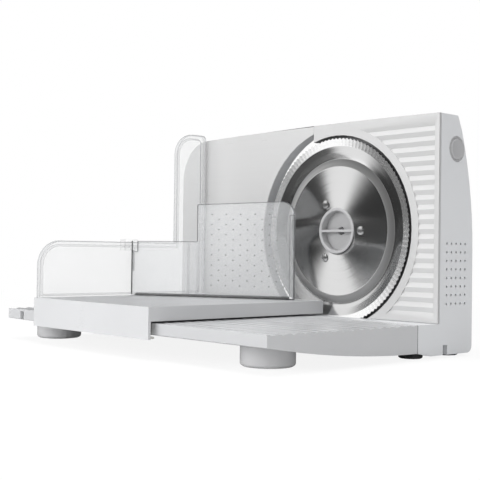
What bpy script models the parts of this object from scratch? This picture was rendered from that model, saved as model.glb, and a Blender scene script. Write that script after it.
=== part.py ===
"""Household food slicer: serrated round blade, sliding carriage, stop plate and ribbed motor housing.

Metres, +Z up, the floor at Z 0. X runs along the cut, Y runs back from the user through the blade.
Pieces are drawn from the blade axis: X 0 and Y 0 are the blade's centre and its edge plane.
One root empty then centres the whole machine on the world origin.
"""

from math import asin, atan2, ceil, cos, pi, radians, sin, sqrt, tan

import bmesh
import bpy
from mathutils import Vector

# Clearances
GAP = 0.0003
RUNNING_GAP = 0.0005
OVERSHOOT = 0.01  # how far a cutting shape runs past what it cuts

# Blade
BLADE_RADIUS = 0.085
BLADE_SHEET = 0.0012
BLADE_TEETH = 64
TOOTH_DEPTH = 0.0008
BEVEL_WIDTH = 0.0075
BEVEL_SETBACK = 0.0008
DISH_DEPTH = 0.0046
DISH_WIDTH = 0.0095
DISH_FLAT = 0.0020
BEAD_WIDTH = 0.0100
HUB_FACE_SETBACK = 0.0024
AXIS_RISE = 0.0774
RIVET_CIRCLE = 0.0285
RIVET_RADIUS = 0.0019
RIVET_HEAD_RADIUS = 0.0036
RIVET_COUNT = 3
RIVET_DOME = 0.0012
RIVET_END_GAP = 0.0010

# Lock knob
KNOB_RADIUS = 0.0212
KNOB_WALL = 0.0029
KNOB_DEPTH = 0.0095
KNOB_FLOOR = 0.0016
KNOB_FLANGE = 0.0012
KNOB_EDGE = 0.0006
GRIP_BAR_WIDTH = 0.0022
GRIP_BAR_SETBACK = 0.0008
GRIP_BAR_GAP = 0.0022
NOSE_SOCKET_RADIUS = 0.0015
NOSE_SOCKET_DEPTH = 0.0025
NOSE_PROUD = 0.0012
SPINDLE_COLLAR = 0.0020
SPINDLE_RADIUS = 0.0050
SPINDLE_NOSE_RADIUS = 0.0033
BUSH_WALL = 0.0019
SPINDLE_PLATE_RADIUS = 0.0180

# Worm drive
GEAR_TEETH = 40
WORM_STARTS = 2
GEAR_MODULE = 0.0017
GEAR_FACE = 0.0060
WORM_PITCH_RADIUS = 0.0060
WORM_LENGTH = 0.0200
FLANK_BACKLASH = 0.00035
DRUM_WALL = 0.0040
GEAR_WEB = 0.0025
GEAR_HUB_WALL = 0.0030
SHAFT_RADIUS = 0.0025

# Motor
MOTOR_PAN_GAP = 0.0006
MOTOR_REAR_GAP = 0.0033
MOTOR_LENGTH = 0.0430
MOTOR_START = 0.0480
MOTOR_WALL = 0.0018
ARMATURE_GAP = 0.0030
FAN_INSET = 0.0008
FAN_LENGTH = 0.0060
FAN_VANES = 7
BRACKET_SHEET = 0.0020
BRACKET_RISE = 0.0150
BRACKET_REACH = 0.0090
BRACKET_FLANGE = 0.0120
BELL_LIP = 0.0020
BELL_BOSS_RADIUS = 0.0070
BELL_BOSS_LENGTH = 0.0050
BEARING_LENGTH = 0.0080
BEARING_HALF = 0.0060
BEARING_GAP = 0.0020
SHAFT_PAST_WORM = 0.0110
SHAFT_PAST_MOTOR = 0.0160
ARMATURE_START = 0.0040
ARMATURE_END = 0.0120
COMMUTATOR_RADIUS = 0.0070
COMMUTATOR_LENGTH = 0.0080
FAN_VANE = 0.0014
FAN_HUB_RADIUS = 0.0055
FAN_END_GAP = 0.0010

# Housing
RIGHT_FACE = 0.1149
TOP_RISE = 0.0984
HOUSING_DEPTH = 0.0488
HOUSING_WALL = 0.0025
HOUSING_FLOOR = 0.0023
REAR_TAPER = 0.0217
TAPER_START = 0.0900
SILL_FRONT = -0.0260
SILL_FRONT_LIFT = 0.0054
SILL_STEP = 0.0180
HOUSING_ROUND = 0.0060
HOUSING_SHOULDER = 0.0040
PAN_LIP = 0.0013
TOP_ARCH_RADIUS = 6.85
TOP_ARCH_CENTRE = -0.0100
DRUM_RADIUS = 0.0740
SEAM_X = -0.0283
VENT_COLUMNS = 5
VENT_ROWS = 8
VENT_RADIUS = 0.0012
VENT_PITCH_Y = 0.0065
VENT_PITCH_Z = 0.0072
VENT_FIRST_Y = 0.0120
VENT_FIRST_Z = 0.0447
NOTCH_WIDTH = 0.0063
NOTCH_HEIGHT = 0.0106
NOTCH_Y = 0.0107
NOTCH_DEPTH = 0.0080

# Front panel
PANEL_SHEET = 0.0025
PAN_CLEARANCE = 0.0023
RING_WIDTH = 0.0072
PAN_DEPTH = 0.0070
PAN_SHEET = 0.0018
GEAR_OPENING = 0.0015
RIB_PITCH = 0.0082
RIB_DEPTH = 0.0012
RIB_BOTTOM_MARGIN = 0.0043
RIB_TOP_MARGIN = 0.0075
RIB_MARGIN = 0.0045

# Base plate
BASE_WIDTH = 0.3612
BASE_FRONT = -0.1949
BASE_TOP = 0.0290
SKIRT_FRONT_EDGE = 0.0195
BASE_RIB_COUNT = 16
BASE_RIB_DEPTH = 0.0012
BASE_ROOF = 0.0030
SLOT_COUNT = 10
SLOT_WALL = 0.0028
RAIL_GROOVE_X = 0.0223
RAIL_GROOVE_WIDTH = 0.0063
RAIL_GROOVE_DEPTH = 0.0040
RAIL_SKIN = 0.0010

# Feet
FOOT_RADIUS = 0.0212
FOOT_FRONT_INSET = 0.0419
FOOT_RIGHT_INSET = 0.0424
FOOT_LEFT_INSET = 0.0243
FOOT_FLOOR_GAP = 0.0006
FOOT_SOCKET = 0.0040
FOOT_ROUND = 0.0025
PAD_RADIUS = 0.0140
PAD_DEPTH = 0.0030
SMALL_FOOT_RADIUS = 0.0100
SMALL_FOOT_INSET = 0.0160
SMALL_FOOT_FRONT_Y = -0.0150
SMALL_FOOT_REAR_Y = 0.0340
SMALL_FOOT_SOCKET = 0.0020
SMALL_FOOT_ROUND = 0.0010

# Carriage
CARRIAGE_WIDTH = 0.1745
CARRIAGE_RIGHT = -0.0115
CARRIAGE_LEAD = 0.0075
CARRIAGE_BACK = -0.0025
CARRIAGE_LIFT = 0.0013
TABLE_THICKNESS = 0.0115
TABLE_SKIN = 0.0030
SKIRT_SHEET = 0.0024
SKIRT_DROP = 0.0258
TABLE_GROOVES = 22
TABLE_GROOVE_DEPTH = 0.0007
POCKET_COLUMNS = 5
PAD_LENGTH = 0.0300
PAD_WIDTH = 0.0080
PAD_INSET = 0.0150
PAD_BACK_GAP = 0.0040
TABLE_EDGE = 0.0040
HOOK_SHEET = 0.0016
HOOK_LIP = 0.0030
HOOK_INSET = 0.0060

# Guard wall on the carriage
GUARD_SHEET = 0.0045
GUARD_WEB = 0.0024
GUARD_RIM = 0.0045
GUARD_LOW_TOP = 0.0945
GUARD_TALL_TOP = 0.2075
GUARD_TALL_WIDTH = 0.0390
GUARD_LOW_ROUND = 0.0230
GUARD_TALL_ROUND = 0.0220
GUARD_SMALL_ROUND = 0.0040
GUARD_SEAT = 0.0028
GUARD_RIB_COUNT = 2
GUARD_RIB_WIDTH = 0.0014
GUARD_RIB_PITCH = 0.0124
GUARD_RIB_PROUD = 0.0010
GUARD_RIB_DROP = 0.0020

# Pusher
PUSHER_SHEET = 0.0030
PUSHER_LENGTH = 0.1637
PUSHER_LOW_TOP = 0.0954
PUSHER_TOP = 0.1334
PUSHER_STEP_TOP = 0.1310
PUSHER_STEP = 0.0670
PUSHER_ROUND = 0.0130
PUSHER_RIM = 0.0040
PUSHER_FOOT = 0.0020
HINGE_NOTCH = 0.0025
PUSHER_YAW = radians(29.5)
PUSHER_Y = -0.0985
PUSHER_FLOOR_GAP = 0.0005
BARREL_RADIUS = 0.0022
HINGE_PIN_RADIUS = 0.0010
HINGE_PIN_LENGTH = 0.0200
SADDLE_SHEET = 0.0022
SADDLE_LENGTH = 0.0150
SADDLE_DROP = 0.0090
SPIKE_PITCH_X = 0.0072
SPIKE_PITCH_Z = 0.0097
SPIKE_HEIGHT = 0.0022
SPIKE_RADIUS = 0.0011
SPIKE_MARGIN = 0.0067
SPIKE_BOTTOM = 0.0113
SPIKE_TOP = 0.0085

# Stop plate and its adjuster
PLATE_SHEET = 0.0010
PLATE_EDGE_RADIUS = 0.0950
PLATE_LEFT = -0.2220
PLATE_BOTTOM = 0.0310
PLATE_ROUND = 0.0400
PLATE_INSET = 0.0008
CARRIER_FACE = 0.0026
CARRIER_DEPTH = 0.0110
CARRIER_WALL = 0.0022
PLATE_TRAVEL = 0.0150
DIAL_TURN = radians(300)
ROD_RADIUS = 0.0030
ROD_SPACING = 0.0580
ROD_HEIGHT = 0.0480
ROD_SLEEVE = 0.0026
TOWER_WIDTH = 0.0800
TOWER_TOP = 0.1000
TOWER_WALL = 0.0025
DIAL_X = -0.1720
DIAL_HEIGHT = 0.0680
DIAL_RADIUS = 0.0200
DIAL_THICKNESS = 0.0130
DIAL_FLUTES = 24
CAM_RADIUS = 0.0120
CAM_GROOVE_WIDTH = 0.0038
CAM_GROOVE_DEPTH = 0.0030
FOLLOWER_RADIUS = 0.0015
DIAL_SHAFT_RADIUS = 0.0040
DIAL_FLUTE = 0.0008
DIAL_COLLAR = 0.0030
DIAL_RIM = 0.0020
DIAL_SOCKET = 0.0070
POINTER_WIDTH = 0.0024
POINTER_DEPTH = 0.0010
CAM_ARM_WIDTH = 0.0090
CAM_ARM_SHEET = 0.0060
CAM_ARM_GAP = 0.0015
CAM_END = 0.0060
ROD_BOSS_WALL = 0.0020
ROD_SKIN = 0.0010
SLEEVE_END_GAP = 0.0040

# Push button
BUTTON_Y = 0.0248
BUTTON_DROP = 0.0296
BUTTON_RADIUS = 0.0093
BUTTON_PROUD = 0.0012
BUTTON_LENGTH = 0.0100
BUTTON_TRAVEL = 0.0030
BUTTON_ROUND = 0.0010
BUTTON_DISH = 0.0008
STEM_RADIUS = 0.0030
STEM_LENGTH = 0.0070
SLEEVE_WALL = 0.0010
SLEEVE_FLOOR = 0.0015
SLEEVE_BORE = 0.0045
SWITCH_LENGTH = 0.0080
SWITCH_HALF_WIDTH = 0.0060
SWITCH_HALF_HEIGHT = 0.0090
SPRING_COILS = 4
SPRING_WIRE = 0.0003
SPRING_RADIUS = 0.0062

# Sizes that follow from the ones above
AXIS_HEIGHT = BASE_TOP + AXIS_RISE
HOUSING_TOP = AXIS_HEIGHT + TOP_RISE
BASE_LEFT = RIGHT_FACE - BASE_WIDTH
CARRIAGE_FRONT = BASE_FRONT - CARRIAGE_LEAD
FOOT_Y = BASE_FRONT + FOOT_FRONT_INSET
BASE_BACK = SILL_FRONT - GAP
BASE_RIB_PITCH = (BASE_BACK - BASE_FRONT) / BASE_RIB_COUNT
FOOT_PLACES = {"left": BASE_LEFT + FOOT_LEFT_INSET, "right": RIGHT_FACE - FOOT_RIGHT_INSET}
SILL_TOP = BASE_TOP - BASE_RIB_DEPTH / 2
SMALL_FOOT_TOP = HOUSING_FLOOR + SMALL_FOOT_SOCKET + SILL_FRONT_LIFT / 2 - GAP
PANEL_BOTTOM = SILL_TOP + GAP
HOUSING_FRONT = PANEL_SHEET + GAP
PAN_RADIUS = BLADE_RADIUS + PAN_CLEARANCE
RING_RADIUS = PAN_RADIUS + RING_WIDTH
PAN_WALL_RADIUS = PAN_RADIUS + PAN_SHEET
PAN_BACK = PAN_DEPTH + PAN_SHEET
MOTOR_RADIUS = (HOUSING_DEPTH - HOUSING_WALL - PAN_BACK - MOTOR_PAN_GAP - MOTOR_REAR_GAP) / 2
DRIVE_DEPTH = PAN_BACK + MOTOR_PAN_GAP + MOTOR_RADIUS
ARMATURE_RADIUS = MOTOR_RADIUS - MOTOR_WALL - ARMATURE_GAP
FAN_RADIUS = MOTOR_RADIUS - FAN_INSET
RECESS_RADIUS = PAN_WALL_RADIUS + GAP
PANEL_LEFT = SEAM_X + GAP
RIB_FIRST_Z = BASE_TOP + RIB_BOTTOM_MARGIN
RIB_COUNT = round((HOUSING_TOP - RIB_TOP_MARGIN - RIB_FIRST_Z) / RIB_PITCH)
GEAR_RADIUS = GEAR_MODULE * GEAR_TEETH / 2
GEAR_TIP = GEAR_RADIUS + GEAR_MODULE * 0.90
GEAR_ROOT = GEAR_RADIUS - GEAR_MODULE * 1.15
WORM_TIP = WORM_PITCH_RADIUS + GEAR_MODULE * 0.85
WORM_ROOT = WORM_PITCH_RADIUS - GEAR_MODULE * 1.15
AXIAL_PITCH = pi * GEAR_MODULE
WORM_LEAD = AXIAL_PITCH * WORM_STARTS
WORM_HEIGHT = AXIS_HEIGHT - GEAR_RADIUS - WORM_PITCH_RADIUS
MOTOR_END = MOTOR_START + MOTOR_LENGTH
BLADE_BACK = HUB_FACE_SETBACK + BLADE_SHEET
GEAR_FRONT = BLADE_BACK + GAP
CUP_RADIUS = KNOB_RADIUS - KNOB_WALL / 2
CUP_BORE = CUP_RADIUS + GAP
KNOB_FRONT = HUB_FACE_SETBACK - GAP - KNOB_FLANGE
KNOB_BACK = KNOB_FRONT + KNOB_DEPTH
GEAR_FLOOR = KNOB_BACK + GAP
BUSH_RADIUS = SPINDLE_RADIUS + GAP + BUSH_WALL
GEAR_BORE = BUSH_RADIUS + GAP
GEAR_BACK = DRIVE_DEPTH + GEAR_FACE / 2
CARRIAGE_LEFT = CARRIAGE_RIGHT - CARRIAGE_WIDTH
TABLE_BOTTOM = BASE_TOP + CARRIAGE_LIFT
TABLE_TOP = TABLE_BOTTOM + TABLE_THICKNESS
SKIRT_BOTTOM = TABLE_TOP - SKIRT_DROP
GUARD_OUTER = CARRIAGE_LEFT
GUARD_INNER = GUARD_OUTER + GUARD_SHEET
GUARD_FRONT = CARRIAGE_FRONT + SKIRT_SHEET
GUARD_BACK = CARRIAGE_BACK
PUSHER_BOTTOM = TABLE_TOP + PUSHER_FLOOR_GAP
HINGE_X = GUARD_INNER + SADDLE_SHEET + RUNNING_GAP * 2 + BARREL_RADIUS
CARRIER_FRONT = PLATE_SHEET + GAP
TOWER_FRONT = CARRIER_FRONT + CARRIER_DEPTH + PLATE_TRAVEL + RUNNING_GAP
TOWER_INNER_BACK = HOUSING_DEPTH - TOWER_WALL
TOWER_LEFT = DIAL_X - TOWER_WIDTH / 2
TOWER_RIGHT = DIAL_X + TOWER_WIDTH / 2
CAM_LEAD = PLATE_TRAVEL * 2 * pi / DIAL_TURN
BUTTON_HEIGHT = HOUSING_TOP - BUTTON_DROP
BUTTON_FACE = RIGHT_FACE + BUTTON_PROUD
BUTTON_BORE = BUTTON_RADIUS + GAP
SLEEVE_RADIUS = BUTTON_BORE + SLEEVE_WALL
DIAL_BACK = HOUSING_DEPTH + GAP + DIAL_THICKNESS
CENTRE_X = (BASE_LEFT + BUTTON_FACE) / 2
CENTRE_Y = (CARRIAGE_FRONT + DIAL_BACK) / 2

# Number of sides on round pieces
FINE = 56
ROUND = 28
SMALL = 16
TINY = 10


def clear_scene():
    """Empty the file of objects, so the model starts alone."""
    for item in list(bpy.data.objects):
        bpy.data.objects.remove(item, do_unlink=True)


def finish(name, color, roughness, metallic, alpha=1.0):
    """A plain Principled material in a piece's own colour."""
    material = bpy.data.materials.new(name)
    material.use_nodes = True
    shader = material.node_tree.nodes["Principled BSDF"]
    shader.inputs["Base Color"].default_value = (*color, 1.0)
    shader.inputs["Roughness"].default_value = roughness
    shader.inputs["Metallic"].default_value = metallic
    shader.inputs["Alpha"].default_value = alpha
    material.diffuse_color = (*color, alpha)
    return material


def frame(name, parent=None, location=(0, 0, 0), turn=0.0):
    """An empty that carries a body; its place is the body's joint axis."""
    empty = bpy.data.objects.new(name, None)
    bpy.context.scene.collection.objects.link(empty)
    empty.parent = parent
    empty.location = location
    empty.rotation_euler = (0, 0, turn)
    return empty


def piece(name, mesh, material, parent, location=(0, 0, 0)):
    """A named sub-part from a bmesh, smooth where its faces meet at a low angle."""
    bmesh.ops.recalc_face_normals(mesh, faces=mesh.faces)
    data = bpy.data.meshes.new(name)
    mesh.to_mesh(data)
    mesh.free()
    data.shade_smooth()
    data.set_sharp_from_angle(angle=radians(32))
    item = bpy.data.objects.new(name, data)
    bpy.context.scene.collection.objects.link(item)
    item.parent = parent
    item.location = location
    if material is not None:
        data.materials.append(material)
    return item


def tool(mesh, parent, location=(0, 0, 0)):
    """A shape that only cuts or joins another piece."""
    item = piece("tool", mesh, None, parent, location)
    item.hide_render = True
    item.display_type = "WIRE"
    return item


def combine(target, other, operation):
    """Add a live Boolean modifier to the target."""
    modifier = target.modifiers.new(operation.title(), "BOOLEAN")
    modifier.operation = operation
    modifier.object = other
    modifier.solver = "EXACT"
    return target


def cut(target, *others):
    """Take other shapes out of the target."""
    for other in others:
        combine(target, other, "DIFFERENCE")
    return target


def join(target, *others):
    """Fuse other shapes to the target."""
    for other in others:
        combine(target, other, "UNION")
    return target


def place_point(axis, u, v, h):
    """Map outline coordinates and a height along the axis to X, Y and Z."""
    if axis == "X":
        return (h, u, v)
    if axis == "Y":
        return (u, h, v)
    return (u, v, h)


def prism(outline, axis, start, end):
    """Extrude a closed outline along an axis."""
    mesh = bmesh.new()
    ring = [mesh.verts.new(place_point(axis, u, v, start)) for u, v in outline]
    face = mesh.faces.new(ring)
    grown = bmesh.ops.extrude_face_region(mesh, geom=[face])
    moved = [item for item in grown["geom"] if isinstance(item, bmesh.types.BMVert)]
    shift = Vector(place_point(axis, 0, 0, end - start))
    bmesh.ops.translate(mesh, verts=moved, vec=shift)
    return mesh


def box(low, high):
    """A block between two corners."""
    outline = [(low[0], low[1]), (high[0], low[1]), (high[0], high[1]), (low[0], high[1])]
    return prism(outline, "Z", low[2], high[2])


def arc(centre, radius, start, end, steps):
    """Points on a circle from one angle to another, ends included."""
    angles = [start + (end - start) * i / steps for i in range(steps + 1)]
    return [(centre[0] + radius * cos(a), centre[1] + radius * sin(a)) for a in angles]


def circle(centre, radius, sides, turn=0.0):
    """Points once round a circle."""
    return arc(centre, radius, turn, turn + 2 * pi, sides)[:-1]


def turned(profile, axis, sides):
    """Spin a closed profile of (radius, height) points about an axis."""
    mesh = bmesh.new()
    on_axis = 1e-7
    points = [mesh.verts.new(place_point(axis, r, 0, h) if axis != "X" else (h, r, 0)) for r, h in profile]
    edges = []
    for i, point in enumerate(points):
        follower = points[(i + 1) % len(points)]
        if profile[i][0] > on_axis or profile[(i + 1) % len(points)][0] > on_axis:
            edges.append(mesh.edges.new((point, follower)))
    direction = {"X": (1, 0, 0), "Y": (0, 1, 0), "Z": (0, 0, 1)}[axis]
    bmesh.ops.spin(
        mesh, geom=points + edges, cent=(0, 0, 0), axis=direction, angle=2 * pi, steps=sides, use_merge=True
    )
    bmesh.ops.remove_doubles(mesh, verts=mesh.verts, dist=1e-6)
    return mesh


def merge_in(mesh, other):
    """Copy the other bmesh into this one, as a body that doesn't touch it."""
    data = bpy.data.meshes.new("copy")
    other.to_mesh(data)
    other.free()
    mesh.from_mesh(data)
    bpy.data.meshes.remove(data)
    return mesh


def gather(meshes):
    """One bmesh that holds several separate bodies."""
    meshes = list(meshes)
    whole = meshes[0]
    for other in meshes[1:]:
        merge_in(whole, other)
    return whole


def skirt_edge(y):
    """Height of the base's lower edge, which sweeps up towards the user."""
    share = (BASE_BACK - y) / (BASE_BACK - BASE_FRONT)
    return SILL_FRONT_LIFT + (SKIRT_FRONT_EDGE - SILL_FRONT_LIFT) * share**2


def wave(start, pitch, count, crest, depth, steps=4):
    """Points of a rounded rib pattern as (place, height), crests at both ends."""
    points = []
    for i in range(count * steps + 1):
        share = i / steps
        points.append((start + pitch * share, crest - depth * (0.5 - 0.5 * cos(2 * pi * share))))
    return points


def top_height(x):
    """Height of the softly arched top edge at a place along the machine."""
    return HOUSING_TOP - (x - TOP_ARCH_CENTRE) ** 2 / (2 * TOP_ARCH_RADIUS)


def rear_depth(z, inset=0.0):
    """How far back the housing reaches at a height."""
    share = max(0.0, (z - TAPER_START) / (HOUSING_TOP - TAPER_START))
    return HOUSING_DEPTH - inset - REAR_TAPER * share**2


def base_plate(parent, material):
    """Ribbed tray with curved side skirts, hollow underneath between stiffening ribs."""
    top = wave(BASE_FRONT, BASE_RIB_PITCH, BASE_RIB_COUNT, BASE_TOP, BASE_RIB_DEPTH)
    steps = 10
    under = [BASE_BACK - (BASE_BACK - BASE_FRONT) * i / steps for i in range(steps + 1)]
    outline = top + [(y, skirt_edge(y)) for y in under]
    plate = piece("base_plate", prism(outline, "X", BASE_LEFT, RIGHT_FACE), material, parent)
    span = (BASE_WIDTH - SLOT_WALL) / SLOT_COUNT
    roof = BASE_TOP - BASE_RIB_DEPTH - BASE_ROOF
    slots = []
    for i in range(SLOT_COUNT):
        left = BASE_LEFT + SLOT_WALL + span * i
        right = left + span - SLOT_WALL
        front = BASE_FRONT + RAIL_GROOVE_DEPTH + SLOT_WALL
        for x in FOOT_PLACES.values():
            if left < x + FOOT_RADIUS + SLOT_WALL and right > x - FOOT_RADIUS - SLOT_WALL:
                front = FOOT_Y + FOOT_RADIUS + SLOT_WALL
        slots.append(box((left, front, -OVERSHOOT), (right, BASE_BACK - SLOT_WALL, roof)))
    cut(plate, tool(gather(slots), parent))
    sockets = []
    for x in FOOT_PLACES.values():
        outline = circle((x, FOOT_Y), FOOT_RADIUS + GAP, ROUND)
        sockets.append(prism(outline, "Z", -OVERSHOOT, skirt_edge(FOOT_Y) + FOOT_SOCKET))
    cut(plate, tool(gather(sockets), parent))
    groove_left = BASE_LEFT + RAIL_GROOVE_X
    groove_top = BASE_TOP - BASE_RIB_DEPTH - RAIL_SKIN
    groove = box(
        (groove_left, BASE_FRONT - OVERSHOOT, -OVERSHOOT),
        (groove_left + RAIL_GROOVE_WIDTH, BASE_FRONT + RAIL_GROOVE_DEPTH, groove_top),
    )
    cut(plate, tool(groove, parent))
    return plate


def housing_outline(inset):
    """The housing seen from the front: sill, motor tower with an arched top and round blade drum."""
    left = SEAM_X + inset
    right = RIGHT_FACE - inset
    radius = DRUM_RADIUS - inset
    reach = sqrt(radius**2 - left**2)
    low = atan2(-reach, left) + 2 * pi
    high = atan2(reach, left)
    drum = arc((0, AXIS_HEIGHT), radius, low, high, 16)
    steps = 8
    tops = [left + (right - left) * i / steps for i in range(steps + 1)]
    return drum, [(x, top_height(x) - inset) for x in tops]


def housing_side(inset, floor, front):
    """Side profile above the sill, leaning forward at the back towards the top."""
    top = HOUSING_TOP + RUNNING_GAP * 2
    start = TAPER_START
    steps = 8
    heights = [start + (top - start) * i / steps for i in range(steps + 1)]
    rear = [(rear_depth(z, inset), z) for z in heights]
    return [(front, floor), (HOUSING_DEPTH - inset, floor)] + rear + [(front, top)]


def motor_housing(parent, material):
    """Rear shell: sill under the stop plate, hollow motor tower, drum wall behind the blade, side vents."""
    drum, tops = housing_outline(0.0)
    outline = [(BASE_LEFT, 0.0), (RIGHT_FACE, 0.0)] + tops[::-1]
    outline += drum[::-1]
    outline += [(SEAM_X, SILL_TOP), (BASE_LEFT, SILL_TOP)]
    side = [(SILL_FRONT, SILL_FRONT_LIFT), (SILL_FRONT + SILL_STEP, HOUSING_FLOOR)]
    low_corner = (HOUSING_DEPTH - HOUSING_ROUND, HOUSING_FLOOR + HOUSING_ROUND)
    side += arc(low_corner, HOUSING_ROUND, -pi / 2, 0, 4)
    steps = 8
    heights = [TAPER_START + (HOUSING_TOP - TAPER_START) * i / steps for i in range(steps)]
    side += [(rear_depth(z), z) for z in heights]
    top_corner = (rear_depth(HOUSING_TOP) - HOUSING_SHOULDER, HOUSING_TOP - HOUSING_SHOULDER)
    side += arc(top_corner, HOUSING_SHOULDER, radians(25), pi / 2, 3)
    side += [(HOUSING_FRONT, HOUSING_TOP + RUNNING_GAP), (HOUSING_FRONT, SILL_TOP), (SILL_FRONT, SILL_TOP)]
    housing = piece("motor_housing", prism(side, "X", BASE_LEFT, RIGHT_FACE), material, parent)
    face = prism(outline, "Y", SILL_FRONT - OVERSHOOT, HOUSING_DEPTH + 2 * OVERSHOOT)
    combine(housing, tool(face, parent), "INTERSECT")
    floor = SILL_TOP + HOUSING_WALL
    inner_drum, inner_tops = housing_outline(HOUSING_WALL)
    hollow_outline = [(SEAM_X + HOUSING_WALL, floor), (RIGHT_FACE - HOUSING_WALL, floor)]
    hollow_outline += inner_tops[::-1] + inner_drum[::-1]
    cavity = tool(prism(housing_side(HOUSING_WALL, floor, SILL_FRONT), "X", BASE_LEFT, RIGHT_FACE), parent)
    room = prism(hollow_outline, "Y", 0.0, HOUSING_DEPTH + 2 * OVERSHOOT)
    combine(cavity, tool(room, parent), "INTERSECT")
    cut(housing, cavity)
    recess = prism(circle((0, AXIS_HEIGHT), RECESS_RADIUS, FINE), "Y", -PAN_LIP, PAN_BACK + GAP)
    cut(housing, tool(recess, parent))
    vents = []
    for column in range(VENT_COLUMNS):
        for row in range(VENT_ROWS):
            centre = (VENT_FIRST_Y + VENT_PITCH_Y * column, VENT_FIRST_Z + VENT_PITCH_Z * row)
            hole = circle(centre, VENT_RADIUS, 6)
            vents.append(prism(hole, "X", RIGHT_FACE - OVERSHOOT, RIGHT_FACE + OVERSHOOT))
    cut(housing, tool(gather(vents), parent))
    notch = box(
        (RIGHT_FACE - NOTCH_DEPTH, NOTCH_Y - NOTCH_WIDTH / 2, -OVERSHOOT),
        (RIGHT_FACE + OVERSHOOT, NOTCH_Y + NOTCH_WIDTH / 2, NOTCH_HEIGHT),
    )
    cut(housing, tool(notch, parent))
    well = circle((BUTTON_Y, BUTTON_HEIGHT), SLEEVE_RADIUS + GAP, SMALL)
    cut(housing, tool(prism(well, "X", RIGHT_FACE - 2 * OVERSHOOT, RIGHT_FACE + OVERSHOOT), parent))
    cut(housing, tool(gather(small_foot_sockets()), parent))
    return housing


def small_foot_places():
    """Centres of the four rubber feet under the housing."""
    xs = (BASE_LEFT + SMALL_FOOT_INSET, RIGHT_FACE - SMALL_FOOT_INSET)
    return [(x, y) for y in (SMALL_FOOT_FRONT_Y, SMALL_FOOT_REAR_Y) for x in xs]


def small_foot_sockets():
    """Round pockets that the rubber feet are pressed into."""
    shapes = []
    for place in small_foot_places():
        outline = circle(place, SMALL_FOOT_RADIUS + GAP * 2, SMALL)
        shapes.append(prism(outline, "Z", -OVERSHOOT, SMALL_FOOT_TOP + GAP))
    return shapes


def front_panel(parent, material):
    """Ribbed fascia with a round pan for the blade and a plain ring round it."""
    steps = 8
    tops = [PANEL_LEFT + (RIGHT_FACE - PANEL_LEFT) * i / steps for i in range(steps + 1)]
    reach = sqrt(DRUM_RADIUS**2 - PANEL_LEFT**2)
    low = atan2(-reach, PANEL_LEFT) + 2 * pi
    high = atan2(reach, PANEL_LEFT)
    meet = sqrt(PAN_WALL_RADIUS**2 - (AXIS_HEIGHT - PANEL_BOTTOM) ** 2)
    left_meet = -sqrt(PAN_WALL_RADIUS**2 - PANEL_LEFT**2)
    start = atan2(left_meet, PANEL_LEFT)
    end = atan2(PANEL_BOTTOM - AXIS_HEIGHT, meet)
    outline = [(x, top_height(x)) for x in tops[::-1]]
    outline += arc((0, AXIS_HEIGHT), DRUM_RADIUS, high, low, 16)
    outline += arc((0, AXIS_HEIGHT), PAN_WALL_RADIUS, start, end, 20)
    outline += [(RIGHT_FACE, PANEL_BOTTOM)]
    panel = piece("front_panel", prism(outline, "Y", 0.0, PAN_BACK), material, parent)
    well = prism(circle((0, AXIS_HEIGHT), PAN_RADIUS, FINE), "Y", -OVERSHOOT, PAN_DEPTH)
    cut(panel, tool(well, parent))
    far_corner = (RIGHT_FACE + OVERSHOOT, PAN_BACK + OVERSHOOT, HOUSING_TOP + OVERSHOOT)
    rebate = tool(box((PANEL_LEFT - OVERSHOOT, PANEL_SHEET, 0.0), far_corner), parent)
    rim = circle((0, AXIS_HEIGHT), PAN_WALL_RADIUS, FINE)
    keep = prism(rim, "Y", PANEL_SHEET - OVERSHOOT / 2, PAN_BACK + 2 * OVERSHOOT)
    cut(rebate, tool(keep, parent))
    cut(panel, rebate)
    hole = circle((0, AXIS_HEIGHT), GEAR_TIP + GEAR_OPENING, ROUND)
    opening = prism(hole, "Y", -OVERSHOOT, PAN_BACK + OVERSHOOT)
    cut(panel, tool(opening, parent))
    ripple = wave(RIB_FIRST_Z, RIB_PITCH, RIB_COUNT, 0.0, -RIB_DEPTH)
    ripple = [(depth, z) for z, depth in ripple]
    ripple += [(-OVERSHOOT, RIB_FIRST_Z + RIB_PITCH * RIB_COUNT), (-OVERSHOOT, RIB_FIRST_Z)]
    grooves = tool(prism(ripple, "X", 0.0, RIGHT_FACE - RIB_MARGIN), parent)
    keep = prism(circle((0, AXIS_HEIGHT), RING_RADIUS, FINE), "Y", -OVERSHOOT, 2 * OVERSHOOT)
    cut(grooves, tool(keep, parent))
    cut(panel, grooves)
    return panel


def front_feet(parent, shell, rubber):
    """Two round feet under the front of the base, each with a rubber pad let into it."""
    top = skirt_edge(FOOT_Y) + FOOT_SOCKET - GAP
    for side, x in FOOT_PLACES.items():
        pocket = PAD_RADIUS + GAP
        profile = [(0.0, PAD_DEPTH + GAP), (pocket, PAD_DEPTH + GAP), (pocket, FOOT_FLOOR_GAP)]
        profile += [
            (FOOT_RADIUS - FOOT_ROUND + r, h)
            for r, h in arc((0, FOOT_FLOOR_GAP + FOOT_ROUND), FOOT_ROUND, -pi / 2, 0, 2)
        ]
        profile += [(FOOT_RADIUS, top), (0.0, top)]
        piece(f"front_foot_{side}", turned(profile, "Z", ROUND), shell, parent, (x, FOOT_Y, 0))
        pad = [(0.0, 0.0), (PAD_RADIUS, 0.0), (PAD_RADIUS, PAD_DEPTH), (0.0, PAD_DEPTH)]
        piece(f"foot_pad_{side}", turned(pad, "Z", SMALL), rubber, parent, (x, FOOT_Y, 0))


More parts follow.
